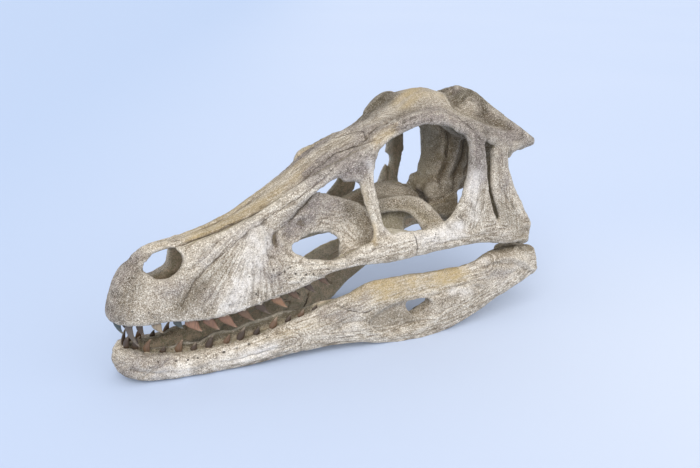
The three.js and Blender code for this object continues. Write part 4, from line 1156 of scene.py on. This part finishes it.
# Cuts closed shapes out of a piece, and leaves a plain mesh.
def cutAway(piece, shapes):
    points, faces, _ = gather([(p, f, np.zeros(len(p))) for p, f in shapes])
    cutter = newObject("cutter", points, faces)
    cut = piece.modifiers.new("cut", "BOOLEAN")
    cut.operation = "DIFFERENCE"
    cut.solver = "MANIFOLD"
    cut.object = cutter
    done = piece.evaluated_get(bpy.context.evaluated_depsgraph_get())
    old, piece.data = piece.data, bpy.data.meshes.new_from_object(done)
    piece.modifiers.clear()
    bpy.data.meshes.remove(old)
    bpy.data.objects.remove(cutter)


# The skin is lifted by creases and pits, by soft swellings and small bumps, and by the grain. Then the
# sockets and holes are cut, and what the finish needs is written on the points that are left.
def finishBone(piece, creases, pits, cuts):
    points, normals = readPoints(piece), readNormals(piece)
    bumps = sum(height * roughness(points, size, seed) for height, size, seed in skin["bumps"])
    bumps += skin["grain"] * writeGrain(piece, points, normals)
    lift = creaseLift(points, normals, creases, pits) + bumps
    writePoints(piece, points + normals * lift[:, None])
    cutAway(piece, cuts)
    points, normals = readPoints(piece), readNormals(piece)
    writeCracks(piece, points, normals, creases)
    writePits(piece, points, normals, pits)
    writeTones(piece, points, normals, readNumber(piece, "inward"))
    writeGrain(piece, points, normals)
    smoothFaces(piece)


# The rods that cut the windows of a piece.
def windowRods(windows):
    rods = []
    for outline, ends, *only in windows.values():
        smooth = smoothRows(outline + outline[:1], 8)[:-1]
        rods += [rod(smooth, 1, *sorted(end * side for end in ends)) for side in only or bothSides]
    return rods


def makeCranium():
    bands = []
    for name, stations in cranium["middleBands"].items():
        outward = cranium["outward"].get(name, (0, 0, 1))
        points, faces, inward = boneBand(stations, 1, outward)
        bands.append((points, faces, np.maximum(inward, cranium["inner"].get(name, 0))))
    for side in bothSides:
        extra = cranium["rightBands" if side > 0 else "leftBands"]
        for stations in {**cranium["sideBands"], **extra}.values():
            bands.append(boneBand(stations, side, (0, 1, 0)))
        extra = cranium["rightPlates"] if side > 0 else {}
        for stations in {**cranium["plates"], **extra}.values():
            points, faces, inward = boneBand(stations, side, (0, 1, 0), cranium["plateSquareness"])
            bands.append((points, faces, np.maximum(inward, cranium["plateInner"])))
    piece = oneSkin("craniumBone", bands, cranium["faceSize"])
    cutAway(piece, windowRods(cranium["windows"]))
    reskin(piece, cranium["faceSize"])
    fillCreases(piece, cranium["fillRounds"])
    ironOut(piece, cranium["ironRounds"])
    upper, hole = teeth["upper"], cranium["spinalHole"]
    cuts = [socketPost(upper, i, side) for side in bothSides for i in range(len(upper["places"]))]
    cuts.append(rod(circle(0, hole["z"], hole["radius"]), 0, hole["from"], hole["to"]))
    finishBone(piece, cranium["creases"], cranium["pits"], cuts)
    return piece


# The soft hollow in the outer face of a jaw half, in front of its window.
def pressHollow(piece):
    hollow = jaws["hollow"]
    points = readPoints(piece)
    dx = (points[:, 0] - hollow["middle"][0]) / hollow["length"]
    dz = (points[:, 2] - hollow["middle"][1]) / hollow["height"]
    outer = smoothStep(0.85, 0.3, readNumber(piece, "inward"))
    points[:, 1] += hollow["depth"] * smoothStep(*hollow["edge"], np.hypot(dx, dz)) * outer
    writePoints(piece, points)


# A jaw half stands on the table at height 0, and stops just short of the other half at the chin.
def makeJaw(side):
    rear = jaws["leftRear"] if side < 0 else jaws["rightRear"]
    body = boneBand(jaws["front"] + rear, side, (0, 1, 0), jaws["squareness"], around=jaws["around"])
    ridge = boneBand(jaws["innerRidge"], side, (0, 1, 0))
    points, faces, inward = boneBand(jaws["toothWall"], side, (0, 1, 0))
    wall = (points, faces, np.maximum(inward, jaws["wallInner"]))
    name = "leftJawBone" if side < 0 else "rightJawBone"
    piece = oneSkin(name, [body, ridge, wall], jaws["faceSize"])
    if side < 0:
        cutAway(piece, windowRods(jaws["windows"]))
        reskin(piece, jaws["faceSize"])
    fillCreases(piece, jaws["fillRounds"])
    ironOut(piece, jaws["ironRounds"])
    if side < 0:
        pressHollow(piece)
    hinge, lower = jaws["hinge"], teeth["lower"]
    ends = sorted((hinge["out"] + end * hinge["length"] / 2) * side for end in (-1, 1))
    cuts = [socketPost(lower, i, side) for i in range(len(lower["places"]))]
    cuts.append(rod(circle(hinge["x"], hinge["z"], hinge["radius"]), 1, *ends))
    finishBone(piece, jaws["creases"], jaws["pits"], cuts)
    points = readPoints(piece)
    points[:, 2] = np.maximum(points[:, 2], 0)
    points[:, 1] = side * np.maximum(points[:, 1] * side, jaws["chinGap"])
    writePoints(piece, points)
    return piece


# A socket's value in a finish. + - * between wires and numbers add Math nodes.
class Wire:
    def __init__(self, finish, socket):
        self.finish = finish
        self.socket = socket

    def math(self, operation, *values, clamp=False):
        settings = {"operation": operation, "use_clamp": clamp}
        return self.finish.node("ShaderNodeMath", settings, dict(enumerate(values)))

    def __add__(self, other):
        return self.math("ADD", self, other)

    def __sub__(self, other):
        return self.math("SUBTRACT", self, other)

    def __rsub__(self, other):
        return self.math("SUBTRACT", other, self)

    def __mul__(self, other):
        return self.math("MULTIPLY", self, other)

    def __abs__(self):
        return self.math("ABSOLUTE", self)

    def larger(self, other):
        return self.math("MAXIMUM", self, other)

    # 0 below low, 1 above high, and a smooth step between
    def step(self, low, high):
        settings = {"interpolation_type": "SMOOTHSTEP", "clamp": True}
        sockets = {"Value": self, "From Min": low, "From Max": high, "To Min": 0, "To Max": 1}
        return self.finish.node("ShaderNodeMapRange", settings, sockets)

    __radd__ = __add__
    __rmul__ = __mul__


# A finish is a material and its node tree.
class Finish:
    def __init__(self, name):
        self.material = bpy.data.materials.new(name)
        self.material.use_nodes = True
        self.tree = self.material.node_tree
        self.tree.nodes.clear()

    # A node of any type: its settings first, then values or wires for its sockets, which are named by
    # name, identifier or number. It gives the wire of one output.
    def node(self, kind, settings=None, sockets=None, output=0):
        made = self.tree.nodes.new(kind)
        for name, value in (settings or {}).items():
            if name == "stops":
                self.setStops(made.color_ramp, value)
            else:
                setattr(made, name, value)
        for name, value in (sockets or {}).items():
            socket = self.find(made.inputs, name)
            if isinstance(value, Wire):
                self.tree.links.new(value.socket, socket)
            else:
                socket.default_value = value
        return Wire(self, self.find(made.outputs, output))

    def find(self, sockets, name):
        if isinstance(name, int):
            return sockets[name]
        return next(s for s in sockets if name in (s.identifier, s.name) and s.enabled)

    def setStops(self, ramp, stops):
        while len(ramp.elements) < len(stops):
            ramp.elements.new(1)
        for element, (place, colour) in zip(ramp.elements, stops):
            element.position = place
            element.color = colour

    def attribute(self, name, output="Vector"):
        return self.node("ShaderNodeAttribute", {"attribute_name": name}, output=output)

    def parts(self, vector):
        made = self.node("ShaderNodeSeparateXYZ", {}, {"Vector": vector})
        outputs = made.socket.node.outputs
        return [Wire(self, outputs[k]) for k in range(3)]

    def mix(self, factor, a, b, blend="MIX"):
        settings = {"data_type": "RGBA", "blend_type": blend}
        sockets = {"Factor_Float": factor, "A_Color": a, "B_Color": b}
        return self.node("ShaderNodeMix", settings, sockets, "Result_Color")

    def length(self, vector):
        return self.node("ShaderNodeVectorMath", {"operation": "LENGTH"}, {0: vector}, "Value")

    # where a point lies on the object, in metres or in millimetres
    def metres(self):
        return self.node("ShaderNodeTexCoord", {}, {}, "Object")

    def place(self):
        sockets = {0: self.metres(), "Scale": 1 / mm}
        return self.node("ShaderNodeVectorMath", {"operation": "SCALE"}, sockets)

    def noise(self, vector, scale, detail=2.0, rough=0.5):
        sockets = {"Vector": vector, "Scale": scale, "Detail": detail, "Roughness": rough}
        return self.node("ShaderNodeTexNoise", {"noise_dimensions": "3D"}, sockets, "Fac")

    def stretched(self, vector, scale):
        return self.node("ShaderNodeMapping", {"vector_type": "POINT"}, {"Vector": vector, "Scale": scale})

    # The surface and the material's output. steady holds the surface's fixed values.
    def surface(self, colour, rough, height, depth, steady):
        bump = self.node("ShaderNodeBump", {}, {"Height": height, "Distance": depth * mm}, "Normal")
        sockets = {"Base Color": colour, "Roughness": rough, "Normal": bump, **steady}
        shader = self.node("ShaderNodeBsdfPrincipled", {}, sockets, "BSDF")
        output = self.tree.nodes.new("ShaderNodeOutputMaterial")
        self.tree.links.new(shader.socket, output.inputs["Surface"])
        return self.material


# A colour as it looks on the screen, 0 to 255, for a shader's socket.
def paint(red, green, blue):
    return tuple(((v / 255 + 0.055) / 1.055) ** 2.4 for v in (red, green, blue)) + (1,)


# A look's values, with each colour as paint.
def painted(look):
    return {name: paint(*value) if isinstance(value, tuple) else value for name, value in look.items()}


# Sizes count features in a millimetre. A stained patch, or a patch of painted shade or painted light, is (how
# much it breaks up at the flecks, where it starts to show, where it is full, strength), and with a number
# below nought it gathers on the light flecks.
boneLook = {
    "dark": (90, 78, 62),
    "middle": (180, 165, 145),
    "light": (250, 242, 228),
    "ochre": (190, 166, 120),
    "pale": (252, 246, 240),
    "grey": (132, 121, 120),
    "brown": (116, 102, 80),
    # the colour of painted shade
    "shade": (78, 70, 52),
    "dirt": (88, 74, 56),
    "inside": (170, 160, 132),
    "lining": (226, 200, 172),
    # the colour of painted light
    "lit": (250, 236, 212),
    "crack": (54, 45, 36),
    "pit": (50, 42, 34),
    "vein": (84, 76, 62),
    "crackWidth": 0.2,
    "roughness": 0.8,
    "specular": 0.3,
    "bumpDepth": 0.45,
    "sizes": {"broad": 0.07, "patches": 0.28, "specks": 1.4, "grains": 2.3, "lines": 0.34, "pores": 0.55},
    "stainsAndPaintedLight": {
        "ochre": (0.8, 0.05, 0.8, 0.9),
        "grey": (2, 0, 0.7, 0.92),
        "pale": (-1, 0.1, 0.9, 0.9),
        "brown": (2.2, 0, 0.55, 0.92),
        "shade": (1.8, 0, 0.62, 0.93),
        "lit": (-0.8, 0.05, 0.9, 0.8),
    },
    "strengths": {
        "lining": 0.62, "dirt": 0.75, "rubbed": 0.2, "vein": 0.75, "pepper": 0.62, "crack": 0.85, "pit": 0.85,
        "pore": 0.5,
    },
}


# Fossil bone: a mottled cream and brown ground, stained and bleached in places, with a paler lining
# inside, grime and painted shade in its hollows, painted shade and painted light in some places, streaks
# along its grain, dark veins, light and dark specks, thin cracks and pits.
def boneFinish():
    look = painted(boneLook)
    sizes, strengths = look["sizes"], look["strengths"]
    finish = Finish("fossilBone")
    place = finish.place()
    broad = finish.noise(place, sizes["broad"], 3)
    patches = finish.noise(place, sizes["patches"], 4, 0.65)
    specks = finish.noise(place, sizes["specks"], 3, 0.8)
    grains = finish.noise(place, sizes["grains"], 2, 0.8)
    fibres = finish.noise(finish.stretched(finish.attribute("grain"), (0.12, 0.9, 1)), 1, 3, 0.6)
    streaks = (fibres - 0.5) * finish.attribute("grainCounts", "Fac")
    ochre, pale, grey = finish.parts(finish.attribute("tone"))
    numbers = ("brown", "shade", "lit", "hollow", "inner")
    brown, shade, lit, hollow, inner = [finish.attribute(name, "Fac") for name in numbers]
    uneven = 0.55 + (patches - 0.3) * 1.2
    fleck = specks * 1.4 - 0.7

    def stainOrPaintedLight(colour, name, tone):
        breaks, start, full, strength = look["stainsAndPaintedLight"][name]
        shows = (tone * (uneven - fleck * breaks)).step(start, full) * strength
        return finish.mix(shows, colour, look[name])

    ground = 0.5 + (broad - 0.5) * 0.5 + (patches - 0.5) * 0.5 + (specks - 0.5) * 2.5 + streaks * 1.9
    stops = [(0.1, look["dark"]), (0.48, look["middle"]), (0.85, look["light"])]
    colour = finish.node("ShaderNodeValToRGB", {"stops": stops}, {"Fac": ground}, "Color")
    colour = stainOrPaintedLight(colour, "ochre", ochre)
    colour = stainOrPaintedLight(colour, "grey", grey)
    colour = stainOrPaintedLight(colour, "pale", pale)
    colour = finish.mix(inner.step(0.35, 0.9) * (0.78 - fleck * 1.2), colour, look["inside"])
    mottle = (patches + (specks - 0.5) * 0.9).step(0.4, 0.58) * inner.step(0.78, 0.98)
    colour = finish.mix(mottle * strengths["lining"], colour, look["lining"])
    colour = stainOrPaintedLight(colour, "brown", brown)
    # painted shade on the faces that lie in shadow
    colour = stainOrPaintedLight(colour, "shade", shade)
    # painted light on inner faces that lie in shade
    colour = stainOrPaintedLight(colour, "lit", lit)
    # grime and painted shade: hollows and creases are darkened, as grime gathers and shade falls in them
    dirtAndShadeMask = (hollow + (specks - 0.5) * 0.6).step(0.15, 1)
    colour = finish.mix(dirtAndShadeMask * strengths["dirt"], colour, look["dirt"])
    rubbed = ((hollow * -1) + (specks - 0.5) * 0.5).step(0.2, 1)
    colour = finish.mix(rubbed * strengths["rubbed"], colour, look["light"])
    lines = finish.noise(finish.stretched(place, (1, 1, 0.8)), sizes["lines"], 4, 0.6)
    veiny = (grey + brown * 0.5 + 0.08 - pale).step(0.1, 0.9)
    veins = abs(lines - 0.5).step(0.035, 0.008) * veiny * patches.step(0.35, 0.6)
    colour = finish.mix(veins * strengths["vein"], colour, look["vein"])
    stained = (grey + brown) * 0.03
    pepper = (grains + streaks * 0.4 - pale * 0.1 + stained * 1.4).step(0.53, 0.64)
    salt = (specks * 0.4 + grains * 0.6 - stained * 0.3).step(0.47, 0.36)
    colour = finish.mix(pepper * strengths["pepper"], colour, look["dark"])
    colour = finish.mix(salt * (0.72 - inner * 0.4), colour, look["light"])
    wide = look["crackWidth"] + (patches - 0.5) * 0.3
    offsets, counts = [finish.parts(finish.attribute(name)) for name in ("crack", "crackCounts")]
    cracks = 0
    for offset, count in zip(offsets, counts):
        cracks = ((wide - abs(offset)).step(-0.1, 0.12) * count).larger(cracks)
    fromPit = finish.length(finish.attribute("pit")) + (specks - 0.5) * 1.2
    pits = fromPit.step(1.3, 0.7) * finish.attribute("pitCounts", "Fac")
    cells = {"Vector": place, "Scale": sizes["pores"]}
    cell = finish.node("ShaderNodeTexVoronoi", {"feature": "F1"}, cells, "Distance")
    pores = cell.step(0.2, 0.1) * patches.step(0.5, 0.62)
    colour = finish.mix(cracks * strengths["crack"], colour, look["crack"])
    colour = finish.mix(pits * strengths["pit"], colour, look["pit"])
    colour = finish.mix(pores * strengths["pore"], colour, look["crack"])
    height = specks * 0.6 + grains * 0.6 + patches * 0.4 + streaks * 1.1
    height = height - cracks * 0.8 - pits * 0.8 - pores * 0.7 - veins * 0.4
    rough = look["roughness"] + (patches - 0.5) * 0.2
    return finish.surface(colour, rough, height, look["bumpDepth"], {"Specular IOR Level": look["specular"]})


enamelLook = {
    "root": (196, 184, 164),
    "streak": (62, 48, 38),
    "tip": (206, 188, 164),
    "streaky": 0.75,
    "darkerNeck": 0.45,
    "paleTip": 0.3,
    "roughness": 0.34,
    "bumpDepth": 0.1,
    "coat": 0.15,
    "coatRoughness": 0.2,
}


# Tooth enamel: each tooth's own brown, darker streaks along it and a darker neck, a paler tip, and the
# pale root below the bone's edge.
def enamelFinish():
    look = painted(enamelLook)
    finish = Finish("toothEnamel")
    place = finish.place()
    tint = finish.attribute("tint", "Color")
    height = finish.attribute("height", "Fac")
    streaks = finish.noise(finish.stretched(place, (2.2, 2.2, 0.3)), 1, 3, 0.6)
    clouds = finish.noise(place, 0.5, 2)
    colour = finish.mix(streaks.step(0.45, 0.8) * look["streaky"], tint, look["streak"])
    # the neck is darker next to the bone's edge
    colour = finish.mix(height.step(0.35, 0) * look["darkerNeck"], colour, look["streak"])
    colour = finish.mix((height + clouds - 0.5).step(0.6, 1.1) * look["paleTip"], colour, look["tip"])
    colour = finish.mix((height * -1 + (clouds - 0.5) * 0.3).step(-0.06, 0.04), colour, look["root"])
    rough = look["roughness"] + (streaks - 0.5) * 0.25
    steady = {"Coat Weight": look["coat"], "Coat Roughness": look["coatRoughness"]}
    return finish.surface(colour, rough, streaks, look["bumpDepth"], steady)


# The pieces: each rides with the body, and takes the place of the solid of its name.
def dress(piece, node, finish):
    piece.data.materials.clear()
    piece.data.materials.append(finish)
    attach(piece, "root")
    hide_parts(node)


bone = boneFinish()
enamel = enamelFinish()
dress(makeCranium(), "cranium", bone)
sideWords = list(zip(bothSides, ("left", "right")))
for side, word in sideWords:
    jaw = makeJaw(side)
    dress(jaw, word + "_lower_jaw", bone)
    print(word, "jaw made:", len(jaw.data.polygons), "faces")
for row in ("upper", "lower"):
    for index, tint in enumerate(teeth[row]["tints"].split()):
        for side, word in sideWords:
            name = f"{word}{row.capitalize()}Tooth{index + 1}"
            tooth = makeTooth(name, teeth[row], index, side, tint)
            dress(tooth, f"{word}_{row}_tooth_{index + 1}", enamel)
print("teeth set")


# The table and the light: one pale sheet under a soft pale sky, and a large lamp at the upper left.
studio = {
    "sheet": (203, 217, 243),
    "sheetShadedLeft": (190, 208, 238),
    "rightward": (0.875, -0.485),  # the way over the sheet to the right of the picture
    "paintedLightSpot": (0.2, -0.2, 0),
    "sheetSize": 6,
    "sky": (0.96, 0.98, 1, 1),
    "skyStrength": 0.72,
    "lamps": {
        "key": {"from": (-0.55, -0.8, 0.85), "spread": 45, "power": 1.75, "colour": (1, 0.98, 0.95)},
        "side": {"from": (0.6, -0.9, 0.45), "spread": 70, "power": 0.4, "colour": (1, 0.97, 0.95)},
    },
}


# The sheet: pale blue, with painted shade that deepens it to the left and a painted pool of light near one
# place, and faint soft clouds.
def sheetFinish():
    white = paint(255, 255, 255)
    rightX, rightY = studio["rightward"]
    finish = Finish("paleSheet")
    metres = finish.metres()
    clouds = finish.noise(metres, 3, 1)
    x, y, _ = finish.parts(metres)
    # painted shade towards the left of the picture
    left = (x * rightX + y * rightY).step(0.05, -0.4)
    away = finish.node("ShaderNodeVectorMath", {"operation": "SUBTRACT"}, {0: metres, 1: studio["paintedLightSpot"]})
    colour = finish.mix(clouds * 0.06, paint(*studio["sheet"]), white)
    colour = finish.mix(left * 0.9, colour, paint(*studio["sheetShadedLeft"]))
    # a painted pool of light around one place
    colour = finish.mix(finish.length(away).step(0.3, 0) * 0.25, colour, white)
    return finish.surface(colour, 0.9, clouds, 0, {"Specular IOR Level": 0.1})


def makeStudio():
    half = studio["sheetSize"] / 2 / mm
    corners = np.array([(-half, -half, 0), (half, -half, 0), (half, half, 0), (-half, half, 0)])
    sheet = newObject("sheet", corners, [(0, 1, 2, 3)])
    sheet.data.materials.append(sheetFinish())
    world = bpy.data.worlds.new("sky")
    world.use_nodes = True
    background = world.node_tree.nodes["Background"]
    background.inputs["Color"].default_value = studio["sky"]
    background.inputs["Strength"].default_value = studio["skyStrength"]
    bpy.context.scene.world = world
    for name, values in studio["lamps"].items():
        data = bpy.data.lights.new(name, "SUN")
        data.angle = math.radians(values["spread"])
        data.energy = values["power"]
        data.color = values["colour"]
        lamp = bpy.data.objects.new(name, data)
        lamp.location = values["from"]
        lamp.rotation_euler = Vector(values["from"]).to_track_quat("Z", "Y").to_euler()
        bpy.context.scene.collection.objects.link(lamp)
    bpy.context.scene.view_settings.view_transform = "Standard"


makeStudio()
print("studio lit")
